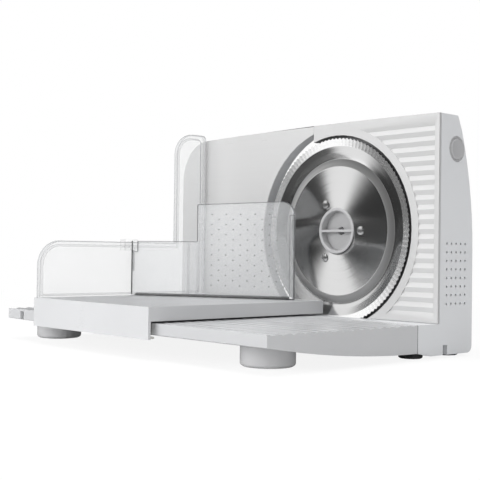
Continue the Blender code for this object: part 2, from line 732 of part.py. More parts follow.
def rubber_feet(parent, rubber):
    """Four low rubber feet pressed into the housing's underside."""
    for i, place in enumerate(small_foot_places()):
        profile = [(0.0, 0.0), (SMALL_FOOT_RADIUS - SMALL_FOOT_ROUND, 0.0)]
        profile += [(SMALL_FOOT_RADIUS, SMALL_FOOT_ROUND), (SMALL_FOOT_RADIUS, SMALL_FOOT_TOP)]
        profile.append((0.0, SMALL_FOOT_TOP))
        piece(f"rubber_foot_{i + 1}", turned(profile, "Z", TINY), rubber, parent, (*place, 0))


def blade_rows():
    """Radius and setback of the rings on the blade's front face, from the bevel inwards."""
    bevel = BLADE_RADIUS - BEVEL_WIDTH
    dish = bevel - DISH_WIDTH
    bead = dish - BEAD_WIDTH
    return [
        (bevel, BEVEL_SETBACK),
        (dish, DISH_DEPTH),
        (dish - DISH_FLAT, DISH_DEPTH),
        (bead, HUB_FACE_SETBACK),
        (CUP_BORE, HUB_FACE_SETBACK),
    ]


def ring(mesh, radius, y, count, ripple=0.0):
    """Vertices round the Y axis, every other one drawn in by the ripple."""
    verts = []
    for i in range(count):
        a = 2 * pi * i / count
        reach = radius - ripple * (i % 2)
        verts.append(mesh.verts.new((reach * cos(a), y, reach * sin(a))))
    return verts


def bridge(mesh, first, second):
    """Faces between two rings with the same number of vertices."""
    count = len(first)
    for i in range(count):
        j = (i + 1) % count
        mesh.faces.new((first[i], first[j], second[j], second[i]))


def tooth_band(mesh, inner, edge):
    """Faces from a plain ring out to the wavy edge, which has twice its vertices."""
    count = len(inner)
    for i in range(count):
        a, b = inner[i], inner[(i + 1) % count]
        first, valley, last = edge[2 * i], edge[2 * i + 1], edge[(2 * i + 2) % (2 * count)]
        mesh.faces.new((a, first, valley))
        mesh.faces.new((a, valley, b))
        mesh.faces.new((b, valley, last))


def slicing_blade(parent, steel):
    """Dished steel disc with a ground bevel and a wavy cutting edge."""
    mesh = bmesh.new()
    edge = ring(mesh, BLADE_RADIUS, 0.0, BLADE_TEETH * 2, TOOTH_DEPTH)
    inner_rings = []
    for depth in (0.0, BLADE_SHEET):
        rows = [ring(mesh, r, y + depth, BLADE_TEETH) for r, y in blade_rows()]
        for outer, inner in zip(rows, rows[1:]):
            bridge(mesh, outer, inner)
        tooth_band(mesh, rows[0], edge)
        inner_rings.append(rows[-1])
    bridge(mesh, *inner_rings)
    blade = piece("slicing_blade", mesh, steel, parent)
    cut(blade, tool(rivet_holes(-OVERSHOOT, 2 * OVERSHOOT), parent))
    return blade


def rivet_places():
    """Rivet centres round the blade axis."""
    return circle((0, 0), RIVET_CIRCLE, RIVET_COUNT)


def rivet_holes(start, end):
    """Cutters for the rivet holes."""
    turn = pi / TINY * 0.8
    return gather(prism(circle(c, RIVET_RADIUS + GAP, TINY, turn), "Y", start, end) for c in rivet_places())


def rivets(parent, steel):
    """Domed rivets that hold the blade to the drive gear."""
    tip = GEAR_FLOOR - RIVET_END_GAP
    face = HUB_FACE_SETBACK - GAP
    crown = face - RIVET_DOME
    head = [(0.0, crown), (RIVET_HEAD_RADIUS * 0.6, crown + RIVET_DOME / 6), (RIVET_HEAD_RADIUS, face)]
    profile = head + [(RIVET_RADIUS, face), (RIVET_RADIUS, tip), (0.0, tip)]
    for i, (x, z) in enumerate(rivet_places()):
        piece(f"blade_rivet_{i + 1}", turned(profile, "Y", TINY), steel, parent, (x, 0, z))


def gear_outline(twist):
    """Toothed outline, a tooth pointing straight down at zero twist."""
    points = []
    pitch_angle = 2 * pi / GEAR_TEETH
    slope = tan(radians(20))
    half = AXIAL_PITCH / 4 - FLANK_BACKLASH
    root_half = (half + (GEAR_RADIUS - GEAR_ROOT) * slope) / GEAR_ROOT
    tip_half = (half - (GEAR_TIP - GEAR_RADIUS) * slope) / GEAR_TIP
    flanks = [(GEAR_ROOT, -root_half), (GEAR_TIP, -tip_half), (GEAR_TIP, tip_half), (GEAR_ROOT, root_half)]
    for i in range(GEAR_TEETH):
        centre = -pi / 2 + pitch_angle * i - twist
        for radius, offset in flanks:
            points.append((radius * cos(centre + offset), radius * sin(centre + offset)))
    return points


def tooth_ring(inner):
    """Ring of helical teeth on a plain round bore."""
    lean = WORM_LEAD / (2 * pi * WORM_PITCH_RADIUS)
    layers = 1
    mesh = bmesh.new()
    outer = []
    for i in range(layers + 1):
        y = GEAR_BACK - GEAR_FACE + GEAR_FACE * i / layers
        outline = gear_outline(lean * (y - DRIVE_DEPTH) / GEAR_RADIUS)
        outer.append([mesh.verts.new((u, y, v)) for u, v in outline])
    for first, second in zip(outer, outer[1:]):
        bridge(mesh, first, second)
    bore = []
    start = -pi / 2 - pi / GEAR_TEETH
    for y, loop in ((GEAR_BACK - GEAR_FACE, outer[0]), (GEAR_BACK, outer[-1])):
        hole = [mesh.verts.new((u, y, v)) for u, v in circle((0, 0), inner, GEAR_TEETH, start)]
        for i in range(GEAR_TEETH):
            rim = [loop[(4 * i + k) % len(loop)] for k in range(-1, 4)]
            mesh.faces.new((*rim, hole[(i + 1) % GEAR_TEETH], hole[i]))
        bore.append(hole)
    bridge(mesh, *bore)
    return mesh


def drive_gear(parent, material):
    """Plastic worm wheel: cup riveted behind the blade, web, hub and helical teeth at its back."""
    drum = GEAR_ROOT - GAP
    inner = drum - DRUM_WALL
    web = GEAR_FLOOR + GEAR_WEB
    hub = GEAR_BORE + GEAR_HUB_WALL
    middle = GEAR_BACK - GEAR_FACE * 0.3
    profile = [(CUP_BORE, GEAR_FRONT), (drum, GEAR_FRONT), (drum, middle), (inner, middle), (inner, web)]
    profile += [(hub, web), (hub, GEAR_BACK), (GEAR_BORE, GEAR_BACK)]
    profile += [(GEAR_BORE, GEAR_FLOOR), (CUP_BORE, GEAR_FLOOR)]
    gear = piece("drive_gear", turned(profile, "Y", ROUND), material, parent)
    join(gear, tool(tooth_ring(inner + DRUM_WALL / 3), parent))
    cut(gear, tool(rivet_holes(GEAR_FRONT - OVERSHOOT, GEAR_FLOOR - RIVET_END_GAP / 2), parent))
    return gear


def hub_bush(parent, bronze):
    """Plain bearing pressed into the gear, turning on the fixed spindle."""
    inner = SPINDLE_RADIUS + GAP
    front = GEAR_FLOOR + GAP
    profile = [(inner, front), (BUSH_RADIUS, front), (BUSH_RADIUS, GEAR_BACK), (inner, GEAR_BACK)]
    return piece("hub_bush", turned(profile, "Y", SMALL), bronze, parent)


def lock_knob(parent, material):
    """Cup-shaped quarter-turn lock with a thin grip bar across it."""
    hole = SPINDLE_NOSE_RADIUS + GAP
    inner = KNOB_RADIUS - KNOB_WALL
    floor = KNOB_BACK - KNOB_FLOOR
    edge = KNOB_FRONT + KNOB_EDGE
    profile = [(hole, floor), (inner, floor), (inner, edge), (inner + KNOB_EDGE, KNOB_FRONT)]
    profile += [(KNOB_RADIUS - KNOB_EDGE, KNOB_FRONT), (KNOB_RADIUS, edge)]
    profile += [(KNOB_RADIUS, KNOB_FRONT + KNOB_FLANGE), (CUP_RADIUS, KNOB_FRONT + KNOB_FLANGE)]
    profile += [(CUP_RADIUS, KNOB_BACK), (hole, KNOB_BACK)]
    knob = piece("lock_knob", turned(profile, "Y", ROUND), material, parent)
    reach = inner + KNOB_WALL / 3
    half = GRIP_BAR_WIDTH / 2
    bar = box((-reach, KNOB_FRONT + GRIP_BAR_SETBACK, -half), (reach, floor - GRIP_BAR_GAP, half))
    join(knob, tool(bar, parent))
    return knob


def spindle(parent, steel):
    """Fixed steel axle with a slim nose that shows in the knob's floor."""
    nose = KNOB_BACK - KNOB_FLOOR - NOSE_PROUD
    socket = nose + NOSE_SOCKET_DEPTH
    base = spindle_plate_back() - BRACKET_SHEET - GAP
    shoulder = GEAR_FLOOR + GAP
    collar = GEAR_BACK + RUNNING_GAP
    profile = [(0.0, socket), (NOSE_SOCKET_RADIUS, socket)]
    profile += [(NOSE_SOCKET_RADIUS, nose), (SPINDLE_NOSE_RADIUS, nose)]
    profile += [(SPINDLE_NOSE_RADIUS, shoulder), (SPINDLE_RADIUS, shoulder), (SPINDLE_RADIUS, collar)]
    flange = SPINDLE_RADIUS + SPINDLE_COLLAR
    profile += [(flange, collar), (flange, base), (0.0, base)]
    return piece("spindle", turned(profile, "Y", SMALL), steel, parent, (0, 0, AXIS_HEIGHT))


def spindle_plate_back():
    """Depth at which the spindle's plate clears the leaning back wall."""
    return rear_depth(AXIS_HEIGHT + SPINDLE_PLATE_RADIUS, HOUSING_WALL) - GAP


def spindle_plate(parent, steel):
    """Steel plate on the housing's back wall that carries the spindle."""
    back = spindle_plate_back()
    front = back - BRACKET_SHEET
    radius = SPINDLE_PLATE_RADIUS
    profile = [(0.0, front), (radius, front), (radius, back), (0.0, back)]
    return piece("spindle_plate", turned(profile, "Y", SMALL), steel, parent, (0, 0, AXIS_HEIGHT))


def thread(start_angle):
    """One start of the worm's thread as a closed helical ridge."""
    mesh = bmesh.new()
    slope = tan(radians(20))
    half = AXIAL_PITCH / 4 - FLANK_BACKLASH
    root = WORM_ROOT - GAP
    root_half = half + (WORM_PITCH_RADIUS - root) * slope
    tip_half = half - (WORM_TIP - WORM_PITCH_RADIUS) * slope
    turns = (WORM_LENGTH - AXIAL_PITCH) / WORM_LEAD
    steps = ceil(turns * 11)
    flanks = [(root, -root_half), (WORM_TIP, -tip_half), (WORM_TIP, tip_half), (root, root_half)]
    sections = []
    for i in range(steps + 1):
        angle = 2 * pi * turns * (i / steps - 0.5)
        centre = WORM_LEAD * angle / (2 * pi)
        a = angle + start_angle
        section = []
        for radius, offset in flanks:
            section.append(mesh.verts.new((centre + offset, radius * cos(a), radius * sin(a))))
        sections.append(section)
    for a, b in zip(sections, sections[1:]):
        for i in range(4):
            mesh.faces.new((a[i], a[(i + 1) % 4], b[(i + 1) % 4], b[i]))
    mesh.faces.new(sections[0])
    mesh.faces.new(sections[-1])
    bmesh.ops.triangulate(mesh, faces=mesh.faces)
    return mesh


def worm(parent, steel):
    """Two-start worm that drives the gear; a gap between threads faces up at rest."""
    half = WORM_LENGTH / 2
    inner = SHAFT_RADIUS + GAP
    profile = [(inner, -half), (WORM_ROOT, -half), (WORM_ROOT, half), (inner, half)]
    item = piece("worm", turned(profile, "X", TINY), steel, parent)
    quarter = pi / 2
    for i in range(WORM_STARTS):
        turn = quarter + pi / WORM_STARTS + 2 * pi * i / WORM_STARTS
        join(item, tool(thread(turn), parent))
    return item


def rotor(parent, steel, copper, plastic):
    """Motor shaft with the armature, its worm and the cooling fan."""
    start = -WORM_LENGTH / 2 - SHAFT_PAST_WORM
    end = MOTOR_END + SHAFT_PAST_MOTOR
    shaft = [(0.0, start), (SHAFT_RADIUS, start), (SHAFT_RADIUS, end), (0.0, end)]
    piece("motor_shaft", turned(shaft, "X", TINY), steel, parent)
    worm(parent, steel)
    inner = SHAFT_RADIUS + GAP
    left = MOTOR_START + MOTOR_WALL + ARMATURE_START
    right = MOTOR_END - ARMATURE_END
    brushes = right + COMMUTATOR_LENGTH
    core = [(inner, left), (ARMATURE_RADIUS, left), (ARMATURE_RADIUS, right), (COMMUTATOR_RADIUS, right)]
    core += [(COMMUTATOR_RADIUS, brushes), (inner, brushes)]
    piece("armature", turned(core, "X", TINY), copper, parent)
    hub = FAN_HUB_RADIUS
    outline = []
    for i in range(FAN_VANES):
        a = 2 * pi * i / FAN_VANES
        half_tip = asin(FAN_VANE / 2 / FAN_RADIUS)
        half_hub = asin(FAN_VANE / 2 / hub)
        gap_angle = pi / FAN_VANES
        outline += [(hub * cos(a - half_hub), hub * sin(a - half_hub))]
        outline += [(FAN_RADIUS * cos(a - half_tip), FAN_RADIUS * sin(a - half_tip))]
        outline += [(FAN_RADIUS * cos(a + half_tip), FAN_RADIUS * sin(a + half_tip))]
        outline += [(hub * cos(a + half_hub), hub * sin(a + half_hub))]
        outline += [(hub * cos(a + gap_angle), hub * sin(a + gap_angle))]
    fan_start = end - FAN_LENGTH - FAN_END_GAP
    fan = piece("cooling_fan", prism(outline, "X", fan_start, fan_start + FAN_LENGTH), plastic, parent)
    cut(fan, tool(prism(circle((0, 0), inner, TINY), "X", fan_start - OVERSHOOT, end + OVERSHOOT), parent))


def motor(parent, steel, plastic):
    """Motor can, end bell, mounting bracket and the far bearing of the worm shaft."""
    place = (0, DRIVE_DEPTH, WORM_HEIGHT)
    bore = SHAFT_RADIUS + GAP
    inner = MOTOR_RADIUS - MOTOR_WALL
    can = [(bore, MOTOR_START), (MOTOR_RADIUS, MOTOR_START), (MOTOR_RADIUS, MOTOR_END), (inner, MOTOR_END)]
    can += [(inner, MOTOR_START + MOTOR_WALL), (bore, MOTOR_START + MOTOR_WALL)]
    piece("motor_can", turned(can, "X", SMALL), steel, parent, place)
    left = MOTOR_END + GAP
    boss = left + BELL_BOSS_LENGTH
    bell = [(bore, left), (MOTOR_RADIUS, left), (MOTOR_RADIUS, left + BELL_LIP)]
    bell += [(BELL_BOSS_RADIUS, boss), (bore, boss)]
    piece("motor_end_bell", turned(bell, "X", SMALL), plastic, parent, place)
    back = rear_depth(WORM_HEIGHT, HOUSING_WALL) - GAP
    right = MOTOR_START - GAP
    front = DRIVE_DEPTH - BRACKET_REACH
    low, high = WORM_HEIGHT - BRACKET_RISE, WORM_HEIGHT + BRACKET_RISE
    web = prism([(front, low), (back, low), (back, high), (front, high)], "X", right - BRACKET_SHEET, right)
    bracket = piece("motor_bracket", web, steel, parent)
    inner = right - BRACKET_SHEET / 2
    flange = box((right - BRACKET_FLANGE, back - BRACKET_SHEET, low), (inner, back, high))
    join(bracket, tool(flange, parent))
    hole = circle((DRIVE_DEPTH, WORM_HEIGHT), bore + RUNNING_GAP, SMALL)
    cut(bracket, tool(prism(hole, "X", 0.0, MOTOR_START + OVERSHOOT), parent))
    bearing_right = -WORM_LENGTH / 2 - BEARING_GAP
    low_corner = (bearing_right - BEARING_LENGTH, DRIVE_DEPTH - BEARING_HALF, WORM_HEIGHT - BEARING_HALF)
    block = box(low_corner, (bearing_right, back, WORM_HEIGHT + BEARING_HALF))
    bearing = piece("worm_bearing", block, plastic, parent)
    hole = circle((DRIVE_DEPTH, WORM_HEIGHT), bore, TINY)
    cut(bearing, tool(prism(hole, "X", bearing_right - 2 * OVERSHOOT, bearing_right + OVERSHOOT), parent))


def plate_outline(inset):
    """The stop plate from the front: concave edge round the blade, rounded far top corner."""
    radius = PLATE_EDGE_RADIUS + inset
    right = SEAM_X - inset
    bottom = PLATE_BOTTOM + inset
    left = PLATE_LEFT + inset
    corner = PLATE_ROUND - inset
    low = atan2(bottom - AXIS_HEIGHT, -sqrt(radius**2 - (bottom - AXIS_HEIGHT) ** 2)) + 2 * pi
    high = atan2(sqrt(radius**2 - right**2), right)
    points = arc((0, AXIS_HEIGHT), radius, low, high, 18)
    steps = 6
    stop = left + corner
    for i in range(steps + 1):
        x = right + (stop - right) * i / steps
        points.append((x, top_height(x) - inset))
    top = top_height(stop) - inset
    points += arc((stop, top - corner), corner, pi / 2, pi, 8)[1:]
    points.append((left, bottom))
    return points


def stop_plate(parent, steel, material):
    """Brushed steel plate on a plastic carrier, with sleeves for the guide rods and the cam arm."""
    piece("stop_plate", prism(plate_outline(0.0), "Y", 0.0, PLATE_SHEET), steel, parent)
    shell = prism(plate_outline(PLATE_INSET), "Y", CARRIER_FRONT, CARRIER_FRONT + CARRIER_DEPTH)
    carrier = piece("plate_carrier", shell, material, parent)
    pocket = plate_outline(PLATE_INSET + CARRIER_WALL)
    open_end = CARRIER_FRONT + CARRIER_DEPTH + OVERSHOOT
    cut(carrier, tool(prism(pocket, "Y", CARRIER_FRONT + CARRIER_FACE, open_end), parent))
    sleeve_end = TOWER_INNER_BACK - PLATE_TRAVEL - SLEEVE_END_GAP
    for x in rod_places():
        sleeve = circle((x, ROD_HEIGHT), ROD_RADIUS + GAP + ROD_SLEEVE, SMALL)
        join(carrier, tool(prism(sleeve, "Y", CARRIER_FRONT + CARRIER_FACE / 2, sleeve_end), parent))
    arm_low = DIAL_HEIGHT + CAM_RADIUS + CAM_ARM_GAP
    arm_high = arm_low + CAM_ARM_SHEET
    arm_half = CAM_ARM_WIDTH / 2
    arm_root = CARRIER_FRONT + CARRIER_FACE / 2
    arm_tip = follower_y() + arm_half
    arm = box((DIAL_X - arm_half, arm_root, arm_low), (DIAL_X + arm_half, arm_tip, arm_high))
    join(carrier, tool(arm, parent))
    for x in rod_places():
        bore = circle((x, ROD_HEIGHT), ROD_RADIUS + GAP, SMALL)
        cut(carrier, tool(prism(bore, "Y", CARRIER_FRONT + ROD_SKIN, sleeve_end + OVERSHOOT), parent))
    seat = circle((DIAL_X, follower_y()), FOLLOWER_RADIUS + GAP, TINY)
    seat_top = arm_high - CAM_ARM_SHEET / 4
    cut(carrier, tool(prism(seat, "Z", arm_low - OVERSHOOT, seat_top), parent))
    pin_top = seat_top - GAP
    pin_low = DIAL_HEIGHT + CAM_RADIUS - CAM_GROOVE_DEPTH + RUNNING_GAP
    pin = [(0.0, pin_low), (FOLLOWER_RADIUS, pin_low), (FOLLOWER_RADIUS, pin_top), (0.0, pin_top)]
    piece("cam_follower", turned(pin, "Z", TINY), steel, parent, (DIAL_X, follower_y(), 0))


def follower_y():
    """Where the cam follower stands when the plate is level with the blade."""
    return TOWER_INNER_BACK - PLATE_TRAVEL - CAM_END


def rod_places():
    """X places of the two guide rods."""
    return (DIAL_X - ROD_SPACING / 2, DIAL_X + ROD_SPACING / 2)


def adjuster_housing(parent, material):
    """Box on the sill that carries the guide rods and the dial, open towards the stop plate."""
    bottom = SILL_TOP + GAP
    outer = box((TOWER_LEFT, TOWER_FRONT, bottom), (TOWER_RIGHT, HOUSING_DEPTH, TOWER_TOP))
    tower = piece("adjuster_housing", outer, material, parent)
    inner = box(
        (TOWER_LEFT + TOWER_WALL, TOWER_FRONT - OVERSHOOT, bottom + TOWER_WALL),
        (TOWER_RIGHT - TOWER_WALL, TOWER_INNER_BACK, TOWER_TOP - TOWER_WALL),
    )
    cut(tower, tool(inner, parent))
    hole = circle((DIAL_X, DIAL_HEIGHT), DIAL_SHAFT_RADIUS + GAP, SMALL)
    cut(tower, tool(prism(hole, "Y", 0.0, HOUSING_DEPTH + OVERSHOOT), parent))
    for x in rod_places():
        boss = circle((x, ROD_HEIGHT), ROD_RADIUS + GAP + ROD_BOSS_WALL, SMALL)
        bosses = prism(boss, "Y", TOWER_INNER_BACK - ROD_BOSS_WALL, HOUSING_DEPTH - ROD_SKIN / 2)
        join(tower, tool(bosses, parent))
    for x in rod_places():
        bore = circle((x, ROD_HEIGHT), ROD_RADIUS + GAP, TINY)
        cut(tower, tool(prism(bore, "Y", 0.0, HOUSING_DEPTH - ROD_SKIN), parent))
    return tower


def guide_rods(parent, steel):
    """Steel rods that the stop plate's sleeves slide on."""
    front = CARRIER_FRONT + PLATE_TRAVEL + ROD_SKIN + GAP
    back = HOUSING_DEPTH - ROD_SKIN - GAP
    for name, x in zip(("left", "right"), rod_places()):
        profile = [(0.0, front), (ROD_RADIUS, front), (ROD_RADIUS, back), (0.0, back)]
        piece(f"guide_rod_{name}", turned(profile, "Y", TINY), steel, parent, (x, 0, ROD_HEIGHT))


def dial(parent, material, plastic):
    """Fluted thickness dial and the barrel cam on its shaft, whose groove moves the stop plate."""
    front = HOUSING_DEPTH + GAP
    outline = []
    for i in range(DIAL_FLUTES * 2):
        a = pi * i / DIAL_FLUTES
        r = DIAL_RADIUS - DIAL_FLUTE * (i % 2)
        outline.append((r * sin(a), r * cos(a)))
    knob = piece("thickness_dial", prism(outline, "Y", front + DIAL_COLLAR, DIAL_BACK), material, parent)
    rim = DIAL_RADIUS + DIAL_RIM
    step = front + DIAL_COLLAR + RUNNING_GAP
    join(knob, tool(turned([(0.0, front), (rim, front), (rim, step), (0.0, step)], "Y", ROUND), parent))
    low_end = (-POINTER_WIDTH / 2, DIAL_BACK - POINTER_DEPTH, DIAL_RADIUS * 0.35)
    high_end = (POINTER_WIDTH / 2, DIAL_BACK + OVERSHOOT, DIAL_RADIUS * 0.85)
    cut(knob, tool(box(low_end, high_end), parent))
    socket = circle((0, 0), DIAL_SHAFT_RADIUS + GAP, SMALL)
    cut(knob, tool(prism(socket, "Y", front - OVERSHOOT, front + DIAL_SOCKET), parent))
    cam_front = follower_y() - CAM_END
    cam_back = TOWER_INNER_BACK - GAP
    body = [(0.0, cam_front), (CAM_RADIUS, cam_front)]
    body += [(CAM_RADIUS, cam_back), (DIAL_SHAFT_RADIUS, cam_back)]
    body += [(DIAL_SHAFT_RADIUS, front + DIAL_SOCKET - GAP), (0.0, front + DIAL_SOCKET - GAP)]
    cam = piece("barrel_cam", turned(body, "Y", ROUND), plastic, parent)
    cut(cam, tool(cam_groove(), parent))


def cam_groove():
    """Helical groove cutter, running on past both ends of the follower's travel."""
    mesh = bmesh.new()
    margin = radians(14)
    steps = 18
    half = CAM_GROOVE_WIDTH / 2
    inner = CAM_RADIUS - CAM_GROOVE_DEPTH
    outer = CAM_RADIUS + OVERSHOOT / 4
    sections = []
    for i in range(steps + 1):
        turn = -margin + (DIAL_TURN + 2 * margin) * i / steps
        y = follower_y() + CAM_LEAD * turn / (2 * pi)
        section = []
        for radius, offset in ((inner, -half), (outer, -half), (outer, half), (inner, half)):
            section.append(mesh.verts.new((-radius * sin(turn), y + offset, radius * cos(turn))))
        sections.append(section)
    for a, b in zip(sections, sections[1:]):
        for i in range(4):
            mesh.faces.new((a[i], a[(i + 1) % 4], b[(i + 1) % 4], b[i]))
    mesh.faces.new(sections[0])
    mesh.faces.new(sections[-1])
    bmesh.ops.triangulate(mesh, faces=mesh.faces)
    return mesh


def carriage_table(parent, material):
    """Sliding food table: grooved top, ribbed hollow underside, deep front skirt."""
    outline = [
        (CARRIAGE_FRONT, SKIRT_BOTTOM),
        (CARRIAGE_FRONT + SKIRT_SHEET, SKIRT_BOTTOM),
        (CARRIAGE_FRONT + SKIRT_SHEET, TABLE_BOTTOM),
        (CARRIAGE_BACK, TABLE_BOTTOM),
        (CARRIAGE_BACK, TABLE_TOP),
        (CARRIAGE_FRONT, TABLE_TOP),
    ]
    table = piece("carriage_table", prism(outline, "X", CARRIAGE_LEFT, CARRIAGE_RIGHT), material, parent)
    left = CARRIAGE_LEFT + GUARD_SHEET + SKIRT_SHEET
    wall = SKIRT_SHEET
    pitch = (CARRIAGE_RIGHT - left) / POCKET_COLUMNS
    pockets = []
    for i in range(POCKET_COLUMNS):
        low = (left + pitch * i, BASE_FRONT + wall, TABLE_BOTTOM - OVERSHOOT)
        high = (left + pitch * (i + 1) - wall, CARRIAGE_BACK - wall, TABLE_TOP - TABLE_SKIN)
        pockets.append(box(low, high))
    cut(table, tool(gather(pockets), parent))
    pitch = (CARRIAGE_RIGHT - left) / TABLE_GROOVES
    grooves = []
    for i in range(TABLE_GROOVES):
        x = left + pitch * (i + 0.25)
        low = (x, CARRIAGE_FRONT + TABLE_EDGE, TABLE_TOP - TABLE_GROOVE_DEPTH)
        grooves.append(box(low, (x + pitch * 0.5, CARRIAGE_BACK - TABLE_EDGE, TABLE_TOP + OVERSHOOT)))
    cut(table, tool(gather(grooves), parent))
    seat = box(
        (GUARD_OUTER - OVERSHOOT, GUARD_FRONT - GAP, TABLE_TOP - GUARD_SEAT),
        (GUARD_INNER + GAP, GUARD_BACK + OVERSHOOT, TABLE_TOP + OVERSHOOT),
    )
    cut(table, tool(seat, parent))
    return table


def guard_outline(inset):
    """L-shaped wall seen from the side: low wall with a round front corner, tall finger guard behind."""
    front = GUARD_FRONT + inset
    back = GUARD_BACK - inset
    low_top = GUARD_LOW_TOP - inset
    top = GUARD_TALL_TOP - inset
    bottom = TABLE_TOP - GUARD_SEAT + GAP + inset
    tall = GUARD_BACK - GUARD_TALL_WIDTH + inset
    low_round = GUARD_LOW_ROUND - inset
    tall_round = GUARD_TALL_ROUND - inset
    points = [(front, bottom), (back, bottom)]
    points += arc((back - GUARD_SMALL_ROUND, top - GUARD_SMALL_ROUND), GUARD_SMALL_ROUND, 0, pi / 2, 3)
    points += arc((tall + tall_round, top - tall_round), tall_round, pi / 2, pi, 8)
    points.append((tall, low_top))
    points += arc((front + low_round, low_top - low_round), low_round, pi / 2, pi, 8)
    return points


def carriage_guard(parent, clear):
    """Clear plastic wall with a thick rim, standing in a seat along the carriage's left edge."""
    guard = piece("carriage_guard", prism(guard_outline(0.0), "X", GUARD_OUTER, GUARD_INNER), clear, parent)
    panel = prism(guard_outline(GUARD_RIM), "X", GUARD_OUTER - OVERSHOOT, GUARD_INNER - GUARD_WEB)
    cut(guard, tool(panel, parent))
    ribs = []
    for i in range(GUARD_RIB_COUNT):
        y = GUARD_BACK - GUARD_RIB_PITCH * (i + 0.85)
        low = (GUARD_INNER - RUNNING_GAP, y, TABLE_TOP + GUARD_RIB_PROUD)
        high = (GUARD_INNER + GUARD_RIB_PROUD, y + GUARD_RIB_WIDTH, GUARD_LOW_TOP - GUARD_RIB_DROP)
        ribs.append(box(low, high))
    join(guard, tool(gather(ribs), parent))
    return guard


def carriage_guides(parent, plastic):
    """Glide pads under the table and the hook strip that keeps it on the base's front rail."""
    pad_top = TABLE_BOTTOM - GAP
    pad_low = BASE_TOP + GAP
    number = 1
    for y in (BASE_FRONT + RAIL_GROOVE_DEPTH, BASE_BACK - PAD_WIDTH - PAD_BACK_GAP):
        for x in (CARRIAGE_LEFT + PAD_INSET, CARRIAGE_RIGHT - PAD_INSET - PAD_LENGTH):
            low = (x, y + GAP, pad_low)
            pad = box(low, (x + PAD_LENGTH, y + PAD_WIDTH, pad_top))
            piece(f"glide_pad_{number}", pad, plastic, parent)
            number += 1
    front = CARRIAGE_FRONT + SKIRT_SHEET + GAP
    inner = BASE_FRONT - RUNNING_GAP
    lip = BASE_FRONT + HOOK_LIP
    low = SKIRT_BOTTOM
    high = skirt_edge(BASE_FRONT + RAIL_GROOVE_DEPTH) - RUNNING_GAP
    outline = [(front, low), (lip, low), (lip, low + HOOK_SHEET), (inner, low + HOOK_SHEET)]
    outline += [(inner, TABLE_BOTTOM - GAP), (front, TABLE_BOTTOM - GAP)]
    assert low + HOOK_SHEET < high
    strip = prism(outline, "X", CARRIAGE_LEFT + HOOK_INSET, CARRIAGE_RIGHT - HOOK_INSET)
    piece("front_hook", strip, plastic, parent)


def pusher_slider(parent, clear):
    """Saddle that rides on the guard's top edge and carries the pusher's hinge pin."""
    half = SADDLE_LENGTH / 2
    outer = GUARD_OUTER - GAP - SADDLE_SHEET
    inner = GUARD_INNER + GAP + SADDLE_SHEET
    seat = GUARD_LOW_TOP + GAP
    outline = [
        (outer, seat - SADDLE_DROP),
        (GUARD_OUTER - GAP, seat - SADDLE_DROP),
        (GUARD_OUTER - GAP, seat),
        (GUARD_INNER + GAP, seat),
        (GUARD_INNER + GAP, seat - SADDLE_DROP),
        (inner, seat - SADDLE_DROP),
        (inner, seat + SADDLE_SHEET),
        (outer, seat + SADDLE_SHEET),
    ]
    outline = [(x - HINGE_X, z) for x, z in outline]
    saddle = piece("pusher_slider", prism(outline, "Y", -half, half), clear, parent)
    lug_low = seat - SADDLE_DROP + RUNNING_GAP
    lug_high = lug_low + SADDLE_SHEET
    lug = [(inner - RUNNING_GAP - HINGE_X, -BARREL_RADIUS)]
    lug += arc((0, 0), BARREL_RADIUS, -pi / 2, pi / 2, 8)
    lug += [(inner - RUNNING_GAP - HINGE_X, BARREL_RADIUS)]
    join(saddle, tool(prism(lug, "Z", lug_low, lug_high), parent))
    pin = circle((0, 0), HINGE_PIN_RADIUS, TINY)
    join(saddle, tool(prism(pin, "Z", lug_low - HINGE_PIN_LENGTH, lug_low + SADDLE_SHEET / 2), parent))
    return lug_low, lug_high


def spikes():
    """Staggered grid of small pyramids that hold the last piece of food."""
    shapes = []
    first = PUSHER_STEP + SPIKE_MARGIN
    columns = int((PUSHER_LENGTH - PUSHER_RIM - SPIKE_RADIUS - first) / SPIKE_PITCH_X) + 1
    for i in range(columns):
        x = first + SPIKE_PITCH_X * i
        bottom = PUSHER_BOTTOM + SPIKE_BOTTOM + (SPIKE_PITCH_Z / 2) * ((i + 1) % 2)
        top = PUSHER_TOP - SPIKE_TOP
        if x > PUSHER_LENGTH - PUSHER_ROUND:
            top -= PUSHER_ROUND / 2
        rows = int((top - bottom) / SPIKE_PITCH_Z) + 1
        for j in range(rows):
            shapes.append(spike((x, bottom + SPIKE_PITCH_Z * j)))
    return shapes


def spike(centre):
    """One three-sided pyramid on the pusher's food side."""
    mesh = bmesh.new()
    root = PUSHER_SHEET / 2 - GAP
    ring = [mesh.verts.new((u, root, v)) for u, v in circle(centre, SPIKE_RADIUS, 3, pi / 2)]
    tip = mesh.verts.new((centre[0], PUSHER_SHEET / 2 + SPIKE_HEIGHT, centre[1]))
    mesh.faces.new(ring)
    for i in range(3):
        mesh.faces.new((ring[i], ring[(i + 1) % 3], tip))
    return mesh


